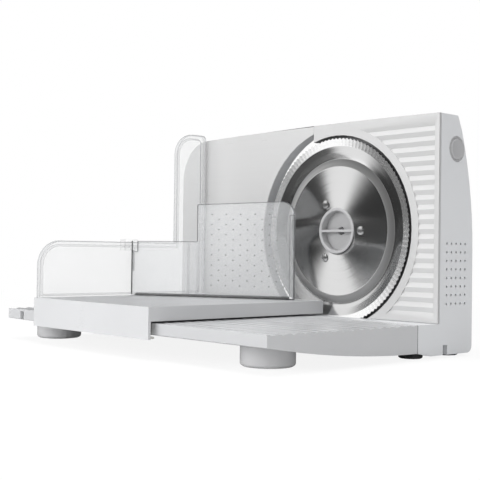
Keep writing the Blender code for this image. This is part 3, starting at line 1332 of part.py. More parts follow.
def pusher_plate(parent, clear, lug_low, lug_high):
    """Clear remnant holder: low end at the guard, tall spiked end, hinge barrel, thick foot rib."""
    half = PUSHER_SHEET / 2
    start = BARREL_RADIUS / 2
    notch_x = BARREL_RADIUS + HINGE_NOTCH
    notch_z = lug_low - RUNNING_GAP * 2
    outline = [(start, PUSHER_BOTTOM), (PUSHER_LENGTH, PUSHER_BOTTOM)]
    outline += arc((PUSHER_LENGTH - PUSHER_ROUND, PUSHER_TOP - PUSHER_ROUND), PUSHER_ROUND, 0, pi / 2, 8)
    outline += [(PUSHER_STEP, PUSHER_STEP_TOP), (PUSHER_STEP, PUSHER_LOW_TOP), (notch_x, PUSHER_LOW_TOP)]
    outline += [(notch_x, notch_z), (start, notch_z)]
    plate = piece("pusher_plate", prism(outline, "Y", -half, half), clear, parent)
    barrel = circle((0, 0), BARREL_RADIUS, SMALL)
    join(plate, tool(prism(barrel, "Z", PUSHER_BOTTOM, lug_low - GAP), parent))
    inset = PUSHER_RIM / 10
    rim_low = (PUSHER_LENGTH - PUSHER_RIM, -half - PUSHER_FOOT, PUSHER_BOTTOM + inset)
    rim_high = (PUSHER_LENGTH - inset, 0, PUSHER_TOP - PUSHER_ROUND - inset)
    join(plate, tool(box(rim_low, rim_high), parent))
    foot_low = (start + PUSHER_RIM, -half - PUSHER_FOOT + inset, PUSHER_BOTTOM + 2 * inset)
    foot_high = (PUSHER_LENGTH - PUSHER_RIM / 2, inset, PUSHER_BOTTOM + PUSHER_FOOT)
    join(plate, tool(box(foot_low, foot_high), parent))
    join(plate, tool(gather(spikes()), parent))
    bore = circle((0, 0), HINGE_PIN_RADIUS + GAP, TINY)
    depth = lug_low - HINGE_PIN_LENGTH - RUNNING_GAP
    cut(plate, tool(prism(bore, "Z", depth, lug_high + OVERSHOOT), parent))
    return plate


def power_button(parent, material):
    """Round push button, slightly hollow in its face, with a stem for the switch."""
    face = BUTTON_PROUD
    back = face - BUTTON_LENGTH
    stem = back - STEM_LENGTH
    profile = [(0.0, face - BUTTON_DISH), (BUTTON_RADIUS * 0.6, face - BUTTON_DISH * 0.4)]
    profile += [(BUTTON_RADIUS - BUTTON_ROUND, face), (BUTTON_RADIUS, face - BUTTON_ROUND)]
    profile += [(BUTTON_RADIUS, back), (STEM_RADIUS, back), (STEM_RADIUS, stem), (0.0, stem)]
    return piece("power_button", turned(profile[::-1], "X", SMALL), material, parent)


def switch(parent, dark, steel, grey):
    """Sleeve that guides the button, return spring round its stem and the switch behind it."""
    place = (0, BUTTON_Y, BUTTON_HEIGHT)
    stop = RIGHT_FACE + BUTTON_PROUD - BUTTON_LENGTH
    left = stop - BUTTON_TRAVEL - STEM_LENGTH
    seat = left + SLEEVE_FLOOR
    sleeve = [(BUTTON_BORE, seat), (BUTTON_BORE, RIGHT_FACE), (SLEEVE_RADIUS, RIGHT_FACE)]
    sleeve += [(SLEEVE_RADIUS, left), (SLEEVE_BORE, left), (SLEEVE_BORE, seat)]
    piece("button_sleeve", turned(sleeve, "X", SMALL), grey, parent, place)
    right = left - RUNNING_GAP
    top = BUTTON_HEIGHT + SWITCH_HALF_HEIGHT
    low = (right - SWITCH_LENGTH, BUTTON_Y - SWITCH_HALF_WIDTH, BUTTON_HEIGHT - SWITCH_HALF_HEIGHT)
    high = (right, rear_depth(top, HOUSING_WALL) - GAP, top)
    piece("micro_switch", box(low, high), dark, parent)
    return seat, stop


def button_spring(parent, steel, start, end):
    """Small coil spring round the button's stem, with room between its coils to be pressed."""
    steps = SPRING_COILS * 10
    curve = bpy.data.curves.new("button_spring", "CURVE")
    curve.dimensions = "3D"
    curve.bevel_depth = SPRING_WIRE
    curve.bevel_resolution = 0
    curve.use_fill_caps = True
    line = curve.splines.new("POLY")
    line.points.add(steps)
    low = start + SPRING_WIRE + GAP
    high = end - SPRING_WIRE - GAP
    for i in range(steps + 1):
        a = 2 * pi * SPRING_COILS * i / steps
        x = low + (high - low) * i / steps
        line.points[i].co = (x, SPRING_RADIUS * cos(a), SPRING_RADIUS * sin(a), 1.0)
    curve.materials.append(steel)
    spare = (high - low) / SPRING_COILS - 2 * SPRING_WIRE
    print(f"button_spring: gap between coils {spare * 1000:.2f} mm")
    item = bpy.data.objects.new("button_spring", curve)
    bpy.context.scene.collection.objects.link(item)
    item.parent = parent
    item.location = (0, BUTTON_Y, BUTTON_HEIGHT)
    return item


def build():
    """Make every sub-part and hang it on the body that carries it."""
    clear_scene()
    shell = finish("light_grey_plastic", (0.62, 0.63, 0.65), 0.35, 0.0)
    silver = finish("silver_paint", (0.55, 0.56, 0.58), 0.30, 0.6)
    brushed = finish("brushed_steel", (0.68, 0.68, 0.68), 0.28, 1.0)
    polished = finish("polished_steel", (0.72, 0.72, 0.72), 0.15, 1.0)
    steel = finish("machine_steel", (0.45, 0.46, 0.47), 0.35, 1.0)
    clear = finish("clear_plastic", (0.85, 0.87, 0.88), 0.08, 0.0, 0.35)
    rubber = finish("black_rubber", (0.03, 0.03, 0.03), 0.80, 0.0)
    dark = finish("black_plastic", (0.05, 0.05, 0.05), 0.45, 0.0)
    nylon = finish("white_nylon", (0.80, 0.79, 0.74), 0.50, 0.0)
    copper = finish("copper_winding", (0.55, 0.27, 0.14), 0.35, 1.0)
    bronze = finish("bearing_bronze", (0.50, 0.35, 0.18), 0.40, 1.0)
    knob_grey = finish("knob_grey", (0.47, 0.48, 0.50), 0.35, 0.2)

    root = frame("slicer", None, (-CENTRE_X, -CENTRE_Y, 0))
    base_plate(root, shell)
    motor_housing(root, silver)
    front_panel(root, brushed)
    front_feet(root, shell, rubber)
    rubber_feet(root, rubber)
    motor(root, steel, dark)
    spindle(root, steel)
    spindle_plate(root, steel)
    adjuster_housing(root, silver)
    guide_rods(root, steel)
    spring_start, spring_end = switch(root, dark, steel, knob_grey)
    button_spring(root, steel, spring_start, spring_end)

    blade_axis = frame("blade_axis", root, (0, 0, AXIS_HEIGHT))
    slicing_blade(blade_axis, polished)
    rivets(blade_axis, steel)
    drive_gear(blade_axis, nylon)
    hub_bush(blade_axis, bronze)
    lock_axis = frame("lock_axis", blade_axis)
    lock_knob(lock_axis, knob_grey)

    rotor_axis = frame("rotor_axis", root, (0, DRIVE_DEPTH, WORM_HEIGHT))
    rotor(rotor_axis, steel, copper, dark)

    plate_slide = frame("plate_slide", root)
    stop_plate(plate_slide, brushed, shell)
    dial_axis = frame("dial_axis", root, (DIAL_X, 0, DIAL_HEIGHT))
    dial(dial_axis, shell, dark)

    carriage_slide = frame("carriage_slide", root)
    carriage_table(carriage_slide, shell)
    carriage_guard(carriage_slide, clear)
    carriage_guides(carriage_slide, nylon)
    pusher_slide = frame("pusher_slide", carriage_slide, (HINGE_X, PUSHER_Y, 0))
    lug_low, lug_high = pusher_slider(pusher_slide, clear)
    pusher_hinge = frame("pusher_hinge", pusher_slide, (0, 0, 0), PUSHER_YAW)
    pusher_plate(pusher_hinge, clear, lug_low, lug_high)

    button_axis = frame("button_axis", root, (RIGHT_FACE, BUTTON_Y, BUTTON_HEIGHT))
    power_button(button_axis, knob_grey)
    bpy.context.view_layer.update()


build()
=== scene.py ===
"""Dresses the food slicer: fine pieces over its solids, their finishes, a pale studio and the camera."""

from math import cos, pi, radians, sin

import bmesh
import bpy
from mathutils import Matrix, Vector


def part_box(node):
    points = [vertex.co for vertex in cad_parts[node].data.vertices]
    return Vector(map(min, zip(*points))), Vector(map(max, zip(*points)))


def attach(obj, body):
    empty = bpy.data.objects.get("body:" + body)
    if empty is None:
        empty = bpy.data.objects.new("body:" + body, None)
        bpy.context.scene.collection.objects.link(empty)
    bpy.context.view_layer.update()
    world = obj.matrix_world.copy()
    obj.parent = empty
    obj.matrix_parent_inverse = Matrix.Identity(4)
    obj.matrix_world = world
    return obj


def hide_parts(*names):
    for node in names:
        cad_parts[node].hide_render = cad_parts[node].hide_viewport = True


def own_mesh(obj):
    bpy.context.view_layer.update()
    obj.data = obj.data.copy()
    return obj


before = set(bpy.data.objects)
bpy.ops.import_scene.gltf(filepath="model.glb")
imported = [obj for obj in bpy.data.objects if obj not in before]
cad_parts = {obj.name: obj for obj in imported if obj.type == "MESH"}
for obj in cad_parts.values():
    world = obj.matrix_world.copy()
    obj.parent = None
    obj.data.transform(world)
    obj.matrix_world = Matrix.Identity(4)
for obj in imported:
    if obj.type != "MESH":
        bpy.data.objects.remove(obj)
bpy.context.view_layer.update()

bl_info = {
    "name": "Food slicer dressing",
    "version": (1, 0, 0),
    "blender": (4, 5, 0),
    "location": "3D View > Sidebar > Slicer",
    "description": "Detailed pieces, finishes, studio and camera for a household food slicer",
    "category": "Object",
}


def corners(node):
    """Lowest and highest corner of a solid, as vectors."""
    low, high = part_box(node)
    return Vector(low), Vector(high)


# The blade's axis and edge plane place every piece.
BLADE_LOW, BLADE_HIGH = corners("slicing_blade")
AXIS = Vector(((BLADE_LOW.x + BLADE_HIGH.x) / 2, BLADE_LOW.y, (BLADE_LOW.z + BLADE_HIGH.z) / 2))
RADIUS = (BLADE_HIGH.x - BLADE_LOW.x) / 2
PUSHER_YAW = radians(29.5)

# The eye's turn round from the front, and the way from the part to the studio's strip of light.
EYE_TURN = radians(47.832)
STRIP_AIM = (-0.741, -0.672)

# Radii where the blade's rolled bead, dish and ground bevel begin, measured in from its edge.
BEAD_INNER = RADIUS - 0.0262
BEAD_OUTER = RADIUS - 0.0194
BEVEL_INNER = RADIUS - 0.0078

DECK_PITCH = 0.011763
DECK_LEVEL = 0.024
SEAM_REACH = 0.002
TOP_LINE = 0.0007
GUARD_ROUND = 0.0004
GUARD_BAND = 0.0006
PUSHER_BAND = 0.0007
PUSHER_FOOT = 0.0021
EDGE_BAR_ROUND = 0.0002
EDGE_BAR_SIZE = (0.0009, 0.0012)


def at(x, y, z):
    """A point given from the blade's axis across and back, and from the floor up, in metres."""
    return Vector((AXIS.x + x, AXIS.y + y, z))


# Modelling by hand


def fresh():
    """Leave edit mode with nothing selected."""
    if bpy.context.object is not None and bpy.context.object.mode != "OBJECT":
        bpy.ops.object.mode_set(mode="OBJECT")
    bpy.ops.object.select_all(action="DESELECT")


def choose(obj):
    """Make one object the only one selected."""
    fresh()
    obj.select_set(True)
    bpy.context.view_layer.objects.active = obj
    return obj


def edit(obj, kind="VERT"):
    """Enter edit mode on one object."""
    choose(obj)
    bpy.ops.object.mode_set(mode="EDIT")
    bpy.ops.mesh.select_mode(type=kind)


def done(obj):
    """Back to object mode with rotation, scale and place put into the mesh."""
    if bpy.context.object is not None and bpy.context.object.mode != "OBJECT":
        bpy.ops.object.mode_set(mode="OBJECT")
    choose(obj)
    bpy.ops.object.transform_apply(location=True, rotation=True, scale=True)
    return obj


def pick(obj, kind, test):
    """In edit mode, select the elements whose middle and direction pass the test."""
    bpy.ops.mesh.select_mode(type=kind)
    bpy.ops.mesh.select_all(action="DESELECT")
    mesh = bmesh.from_edit_mesh(obj.data)
    for item in {"VERT": mesh.verts, "EDGE": mesh.edges, "FACE": mesh.faces}[kind]:
        if kind == "VERT":
            found = test(item.co, item.normal)
        elif kind == "EDGE":
            a, b = item.verts
            found = test((a.co + b.co) / 2, (b.co - a.co).normalized())
        else:
            found = test(item.calc_center_median(), item.normal)
        if found:
            item.select_set(True)
    mesh.select_flush_mode()
    bmesh.update_edit_mesh(obj.data)


def drawn(name, points, closed=True):
    """A line drawn by extruding one vertex from point to point, filled when it closes."""
    fresh()
    points = [Vector(p) for p in points]
    bpy.ops.mesh.primitive_plane_add(size=0.001, location=points[0])
    obj = bpy.context.object
    obj.name = name
    done(obj)
    edit(obj)
    bpy.ops.mesh.select_all(action="SELECT")
    bpy.ops.mesh.merge(type="CENTER")
    for here, there in zip(points, points[1:]):
        bpy.ops.mesh.extrude_vertices_move(TRANSFORM_OT_translate={"value": there - here})
    if closed:
        bpy.ops.mesh.select_all(action="SELECT")
        bpy.ops.mesh.edge_face_add()
    return obj


def slab(name, points, depth):
    """A drawn outline extruded along a vector into a closed solid."""
    obj = drawn(name, points)
    bpy.ops.mesh.select_all(action="SELECT")
    bpy.ops.mesh.extrude_region_move(TRANSFORM_OT_translate={"value": Vector(depth)})
    bpy.ops.mesh.select_all(action="SELECT")
    bpy.ops.mesh.normals_make_consistent(inside=False)
    return done(obj)


def lathe(name, profile, centre, steps):
    """A drawn profile of (radius, depth) pairs spun once round the front to back axis through the centre."""
    centre = Vector(centre)
    out, along = Vector((1, 0, 0)), Vector((0, 1, 0))
    closed = profile[0] == profile[-1]
    obj = drawn(name, [centre + out * r + along * h for r, h in profile], closed=False)
    bpy.ops.mesh.select_all(action="SELECT")
    if closed:
        bpy.ops.mesh.remove_doubles(threshold=0.000001)
        bpy.ops.mesh.select_all(action="SELECT")
    bpy.ops.mesh.spin(steps=steps, angle=2 * pi, center=centre, axis=along)
    bpy.ops.mesh.select_all(action="SELECT")
    bpy.ops.mesh.remove_doubles(threshold=0.000002)
    bpy.ops.mesh.select_all(action="SELECT")
    bpy.ops.mesh.normals_make_consistent(inside=False)
    return done(obj)


def modify(obj, kind, **settings):
    """Add one modifier and apply it."""
    choose(obj)
    modifier = obj.modifiers.new(kind, kind)
    for key, value in settings.items():
        setattr(modifier, key, value)
    bpy.ops.object.modifier_apply(modifier=modifier.name)
    return obj


def smooth(obj, angle=35):
    """Shade smooth except over sharp edges."""
    choose(obj)
    bpy.ops.object.shade_smooth_by_angle(angle=radians(angle))
    return obj


def copy_of(node, name, whole=True):
    """The solid's own shape as a new piece, its loose triangles welded and flat areas made whole."""
    fresh()
    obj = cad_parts[node].copy()
    obj.data = obj.data.copy()
    obj.name = name
    obj.hide_render = False
    bpy.context.scene.collection.objects.link(obj)
    world = obj.matrix_world.copy()
    obj.parent = None
    obj.matrix_world = world
    for key in list(obj.keys()):
        del obj[key]
    if obj.data.has_custom_normals:
        choose(obj)
        bpy.ops.mesh.customdata_custom_splitnormals_clear()
    edit(obj)
    bpy.ops.mesh.select_all(action="SELECT")
    bpy.ops.mesh.remove_doubles(threshold=0.000004)
    if whole:
        bpy.ops.mesh.select_all(action="SELECT")
        bpy.ops.mesh.dissolve_limited(angle_limit=radians(0.6))
    return done(obj)


def round_edges(obj, width, sharp):
    """Bevel the edges sharper than an angle, in two steps."""
    edit(obj, "EDGE")
    bpy.ops.mesh.select_all(action="DESELECT")
    bpy.ops.mesh.edges_select_sharp(sharpness=radians(sharp))
    bpy.ops.mesh.bevel(offset=width, segments=2, profile=0.5, clamp_overlap=True)
    return done(obj)


def second(obj, material, test):
    """Give the faces that pass the test another finish."""
    obj.data.materials.append(material)
    edit(obj, "FACE")
    pick(obj, "FACE", test)
    obj.active_material_index = len(obj.data.materials) - 1
    bpy.ops.object.material_slot_assign()
    return done(obj)


def edge_band(obj, width, material, test):
    """Inset the faces that pass the test and give the narrow band along their borders its own finish."""
    obj.data.materials.append(material)
    edit(obj, "FACE")
    pick(obj, "FACE", test)
    bpy.ops.mesh.inset(thickness=width, use_select_inset=True)
    obj.active_material_index = len(obj.data.materials) - 1
    bpy.ops.object.material_slot_assign()
    return done(obj)


def dress(obj, body, slot, material, *nodes, angle=35, others=(), bands=()):
    """Finish a piece: smooth shading, finish, the body that carries it and the solids it stands for."""
    obj.data.materials.clear()
    obj.data.materials.append(material)
    for other, test in others:
        second(obj, other, test)
    for width, other, test in bands:
        edge_band(obj, width, other, test)
    smooth(obj, angle)
    modify(obj, "WEIGHTED_NORMAL", keep_sharp=True, weight=60)
    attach(obj, body)
    if nodes:
        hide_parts(*nodes)
    return obj


# Finishes


def add_node(tree, kind, settings=None, order=(), **inputs):
    """Any node: its settings first, then the values or links of its sockets, by place and by name."""
    node = tree.nodes.new(kind)
    for key, value in (settings or {}).items():
        setattr(node, key, value)
    named = [(node.inputs[key.replace("_", " ")], value) for key, value in inputs.items()]
    for socket, value in (*zip(node.inputs, order), *named):
        if isinstance(value, Field):
            value = value.socket
        if isinstance(value, bpy.types.NodeSocket):
            tree.links.new(value, socket)
        else:
            socket.default_value = value
    return node


class Field:
    """A shader value that takes part in arithmetic."""

    def __init__(self, tree, socket):
        self.tree = tree
        self.socket = socket

    def math(self, operation, *others):
        """One Math node on this value and others."""
        node = add_node(self.tree, "ShaderNodeMath", {"operation": operation}, (self, *others))
        return Field(self.tree, node.outputs[0])

    def __add__(self, other):
        return self.math("ADD", other)

    __radd__ = __add__

    def __mul__(self, other):
        return self.math("MULTIPLY", other)

    __rmul__ = __mul__

    def __sub__(self, other):
        return self.math("SUBTRACT", other)

    def __rsub__(self, other):
        return (self * -1.0).math("ADD", other)

    def __truediv__(self, other):
        return self.math("DIVIDE", other)

    def ramp(self, low, high):
        """0 below low, 1 above high and smooth between."""
        curve = {"interpolation_type": "SMOOTHSTEP"}
        node = add_node(self.tree, "ShaderNodeMapRange", curve, Value=self, From_Min=low, From_Max=high)
        return Field(self.tree, node.outputs["Result"])


class Finish:
    """A Principled material and the pattern nodes that feed it."""

    def __init__(self, name, color, roughness, metallic=0.0, **constants):
        self.material = bpy.data.materials.new(name)
        self.material.use_nodes = True
        self.tree = self.material.node_tree
        self.shader = self.tree.nodes["Principled BSDF"]
        self.color = color
        self.shader.inputs["Base Color"].default_value = (*color, 1.0)
        self.shader.inputs["Roughness"].default_value = roughness
        self.shader.inputs["Metallic"].default_value = metallic
        for key, value in constants.items():
            self.shader.inputs[key.replace("_", " ")].default_value = value
        self.material.diffuse_color = (*color, 1.0)

    def node(self, kind, settings=None, order=(), **inputs):
        """One more node in this material."""
        return add_node(self.tree, kind, settings, order, **inputs)

    def place(self, centre=(0, 0, 0), scale=(1, 1, 1)):
        """Object coordinates moved to a centre and stretched."""
        source = self.node("ShaderNodeTexCoord").outputs["Object"]
        shift = tuple(-c * s for c, s in zip(centre, scale))
        mapping = self.node(
            "ShaderNodeMapping", {"vector_type": "POINT"}, Vector=source, Location=shift, Scale=scale
        )
        return Field(self.tree, mapping.outputs["Vector"])

    def noise(self, vector, scale, detail=2.0, roughness=0.5):
        """Noise between 0 and 1 over a position."""
        node = self.node(
            "ShaderNodeTexNoise", Vector=vector, Scale=scale, Detail=detail, Roughness=roughness
        )
        return Field(self.tree, node.outputs["Fac"])

    def parts(self, vector):
        """The X, Y and Z of a position."""
        node = self.node("ShaderNodeSeparateXYZ", Vector=vector)
        return [Field(self.tree, output) for output in node.outputs]

    def tint(self, amount, other):
        """Blend the base colour towards another by an amount."""
        node = self.node("ShaderNodeMix", {"data_type": "RGBA"})
        if self.shader.inputs["Base Color"].is_linked:
            self.tree.links.new(self.shader.inputs["Base Color"].links[0].from_socket, node.inputs[6])
        else:
            node.inputs[6].default_value = (*self.color, 1.0)
        node.inputs[7].default_value = (*other, 1.0)
        self.tree.links.new(amount.socket, node.inputs[0])
        self.tree.links.new(node.outputs[2], self.shader.inputs["Base Color"])
        return self

    def feed(self, name, field):
        """Drive one of the shader's inputs."""
        self.tree.links.new(field.socket, self.shader.inputs[name])
        return self

    def vector_math(self, operation, *values):
        """One Vector Math node on vectors."""
        node = self.node("ShaderNodeVectorMath", {"operation": operation}, values)
        return Field(self.tree, node.outputs[0])

    def outward(self, across):
        """The parts, in the room, of a direction given in the object."""
        line = self.node("ShaderNodeCombineXYZ", order=across)
        turn = self.node(
            "ShaderNodeVectorTransform",
            {"vector_type": "VECTOR", "convert_from": "OBJECT", "convert_to": "WORLD"},
            Vector=line.outputs["Vector"],
        )
        return self.parts(turn.outputs["Vector"])

    def lean(self, across):
        """Tilt the surface sideways, as grooves turned round an axis do."""
        line = self.node("ShaderNodeCombineXYZ", order=across)
        facing = self.node("ShaderNodeNewGeometry").outputs["Normal"]
        tilted = self.vector_math("ADD", facing, line.outputs["Vector"])
        return self.feed("Normal", self.vector_math("NORMALIZE", tilted))

    def bump(self, height, distance, strength=1.0):
        """Relief from a height field, on top of any relief already there."""
        node = self.node("ShaderNodeBump", Height=height, Distance=distance, Strength=strength)
        normal = self.shader.inputs["Normal"]
        if normal.is_linked:
            self.tree.links.new(normal.links[0].from_socket, node.inputs["Normal"])
        self.tree.links.new(node.outputs["Normal"], normal)
        return self


def moulded(name, color, roughness, grain=0.00002, scale=900.0, metallic=0.0):
    """Moulded plastic with fine spark texture, faint unevenness and slight wear in its gloss."""
    finish = Finish(name, color, roughness, metallic)
    spot = finish.place()
    cloudy = finish.noise(spot, 14.0, 3.0)
    fine = finish.noise(spot, scale, 2.0)
    shade = tuple(c * 0.93 for c in color)
    finish.tint(cloudy.ramp(0.35, 0.75) * 0.5 + fine * 0.15, shade)
    finish.feed("Roughness", roughness + (cloudy - 0.5) * 0.10 + (fine - 0.5) * 0.06)
    finish.bump(fine, grain, 0.5)
    return finish.material


def ribbed_deck(name, color, roughness, first, pitch):
    """Moulded top with ribs across it: valleys painted darker as shade and rougher in gloss, so the crests
    read paler and glossier.
    """
    finish = Finish(name, color, roughness, 0.15)
    spot = finish.place()
    _, y, _ = finish.parts(spot)
    valley = 0.5 - ((y - first) * (2 * pi / pitch)).math("COSINE") * 0.5
    cloudy = finish.noise(finish.place(scale=(14.0, 60.0, 14.0)), 1.0, 3.0)
    fine = finish.noise(spot, 900.0, 2.0)
    # Painted shade: the valleys between the ribs are darkened, along with random cloudy tone.
    finish.tint(valley * 0.55 + cloudy * 0.30, tuple(c * 0.78 for c in color))
    finish.feed("Roughness", roughness + valley * 0.14 + (cloudy - 0.5) * 0.16)
    finish.bump(fine, 0.00002, 0.4)
    return finish.material


def brushed(name, color, roughness, direction, metallic=1.0):
    """Sheet steel brushed along one direction: long fine scratches in colour, gloss and relief."""
    finish = Finish(name, color, roughness, metallic)
    stretch = {"X": (16.0, 1400.0, 1400.0), "Y": (1400.0, 16.0, 1400.0)}[direction]
    streak = finish.noise(finish.place(scale=stretch), 1.0, 3.0, 0.6)
    wide = finish.noise(finish.place(scale=tuple(s / 9 for s in stretch)), 1.0, 2.0)
    finish.tint(streak * 0.35 + wide * 0.35, tuple(c * 0.92 for c in color))
    finish.feed("Roughness", roughness + (streak - 0.5) * 0.10 + (wide - 0.5) * 0.06)
    finish.bump(streak, 0.000001, 0.15)
    return finish.material


def turned_steel(name, color, roughness, centre, tilt=0.45):
    """Blade steel polished in rings that fan its highlights, with a duller bead whose colour is painted
    darker as shade and a ground edge painted near white as a highlight.
    """
    finish = Finish(name, color, roughness, 1.0)
    x, _, z = finish.parts(finish.place(centre))
    reach = (x * x + z * z).math("SQRT")
    line = finish.node("ShaderNodeCombineXYZ", X=reach * 2600.0)
    rings = finish.noise(line.outputs["Vector"], 1.0, 3.0, 0.7)
    line = finish.node("ShaderNodeCombineXYZ", X=reach * 500.0)
    broad = finish.noise(line.outputs["Vector"], 1.0, 2.0, 0.6)
    soft = 0.0008
    bead = reach.ramp(BEAD_INNER, BEAD_INNER + soft) * (1.0 - reach.ramp(BEAD_OUTER, BEAD_OUTER + soft))
    ground = reach.ramp(BEVEL_INNER, BEVEL_INNER + soft)
    dish = reach.ramp(BEAD_OUTER, BEAD_OUTER + 0.0010) * (1.0 - ground)
    finish.tint(rings * 0.40 + broad * 0.30, tuple(c * 0.82 for c in color))
    grooves = (rings - 0.5) * 0.10 + (broad - 0.5) * 0.06
    finish.feed("Roughness", roughness + grooves + bead * 0.26 + ground * 0.08)
    # Painted shade darkens the bead, most towards its outer side, and leaves a painted highlight line along
    # its inner edge.
    lip_highlight_start = reach.ramp(BEAD_INNER, BEAD_INNER + 0.0005)
    lip_highlight = lip_highlight_start * (1.0 - reach.ramp(BEAD_INNER + 0.0010, BEAD_INNER + 0.0015)) * 0.35
    across = 0.80 + reach.ramp(RADIUS - 0.0240, RADIUS - 0.0200) * 0.20
    finish.tint(bead * (1.0 - lip_highlight) * across, tuple(c * 0.44 for c in color))
    # Painted highlight: the ground bevel is painted near white all round.
    finish.tint(ground, (0.96, 0.96, 0.96))
    finish.feed("Metallic", 1.0 - ground * 0.14 - bead * 0.28)
    away = reach.math("MAXIMUM", 0.0001)
    x, _, z = finish.outward((x, 0.0, z))
    side = z.ramp(-0.022, 0.022) * 2.0 - 1.0
    spread = 1.0 - bead * 0.85 + ground * 0.11
    slope = (broad * 0.10 + (tilt - 0.05)) * spread * side + dish * 0.37 + ground * 0.116
    shift = 0.08 - dish * 0.06 + bead * 0.34 + ground * 0.14
    finish.lean((slope * (x / away) + shift, 0.0, slope * (z / away)))
    return finish.material


def strip_light(x, y):
    """1 in the studio's upright strip at the front left, 0 outside it, for a direction seen from above."""
    span = (x * x + y * y).math("SQRT").math("MAXIMUM", 0.0001)
    x, y = x / span, y / span
    across = y * STRIP_AIM[0] - x * STRIP_AIM[1]
    along = x * STRIP_AIM[0] + y * STRIP_AIM[1]
    return across.ramp(-0.35, -0.18) * (1.0 - across.ramp(0.34, 0.80)) * along.ramp(0.0, 0.2)


def clear(name, color, roughness=0.04, haze=0.0):
    """Clear moulded plastic: mostly see-through, with a light sheen and slight haze."""
    finish = Finish(name, color, roughness, 0.0, IOR=1.46)
    finish.material.surface_render_method = "BLENDED"
    spot = finish.place()
    cloudy = finish.noise(spot, 30.0, 2.0)
    finish.feed("Roughness", roughness + cloudy * 0.04)
    finish.feed("Alpha", cloudy * 0.03 + haze)
    finish.tint(cloudy * 0.3, tuple(c * 0.96 for c in color))
    return finish.material


def by_ray(tree, own, mirrored, seen, output, share=None):
    """One shader for plain light, one in mirrors, and one by a share to the eye and through clear things."""
    path = add_node(tree, "ShaderNodeLightPath")
    through = Field(tree, path.outputs["Is Transmission Ray"])
    eye = Field(tree, path.outputs["Is Camera Ray"]).math("MAXIMUM", through)
    if share is not None:
        eye = eye * share
    mixed = own
    for factor, other in ((path.outputs["Is Glossy Ray"], mirrored), (eye, seen)):
        mixed = add_node(tree, "ShaderNodeMixShader", order=(factor, mixed, other)).outputs[0]
    tree.links.new(mixed, tree.nodes[output].inputs["Surface"])


class SlicerColours(bpy.types.PropertyGroup):
    """Colours of the slicer's finishes."""

    plastic: bpy.props.FloatVectorProperty(
        name="Light plastic", description="Base, plate carrier and dial",
        subtype="COLOR", default=(0.505, 0.51, 0.52),
    )
    carriage: bpy.props.FloatVectorProperty(
        name="Carriage plastic", description="Food carriage", subtype="COLOR", default=(0.575, 0.58, 0.59)
    )
    silver: bpy.props.FloatVectorProperty(
        name="Silver plastic", description="Motor and adjuster housings",
        subtype="COLOR", default=(0.645, 0.655, 0.67),
    )
    panel: bpy.props.FloatVectorProperty(
        name="Panel steel", description="Ribbed front panel", subtype="COLOR", default=(0.625, 0.625, 0.625)
    )
    steel: bpy.props.FloatVectorProperty(
        name="Brushed steel", description="Stop plate", subtype="COLOR", default=(0.695, 0.695, 0.695)
    )
    blade: bpy.props.FloatVectorProperty(
        name="Blade steel", description="Polished blade", subtype="COLOR", default=(0.77, 0.77, 0.77)
    )
    knob: bpy.props.FloatVectorProperty(
        name="Grey plastic", description="Lock knob and button ring",
        subtype="COLOR", default=(0.43, 0.43, 0.435),
    )


class SlicerSizes(bpy.types.PropertyGroup):
    """Sizes of the slicer's fine detail."""

    waves: bpy.props.IntProperty(
        name="Waves", description="Waves round the cutting edge", default=120, min=24
    )
    wave_depth: bpy.props.FloatProperty(
        name="Wave depth", description="Depth of each wave", default=0.0013, unit="LENGTH", subtype="DISTANCE"
    )
    edge_round: bpy.props.FloatProperty(
        name="Edge rounding", description="Rounding of moulded edges",
        default=0.0007, unit="LENGTH", subtype="DISTANCE",
    )


MADE = {}


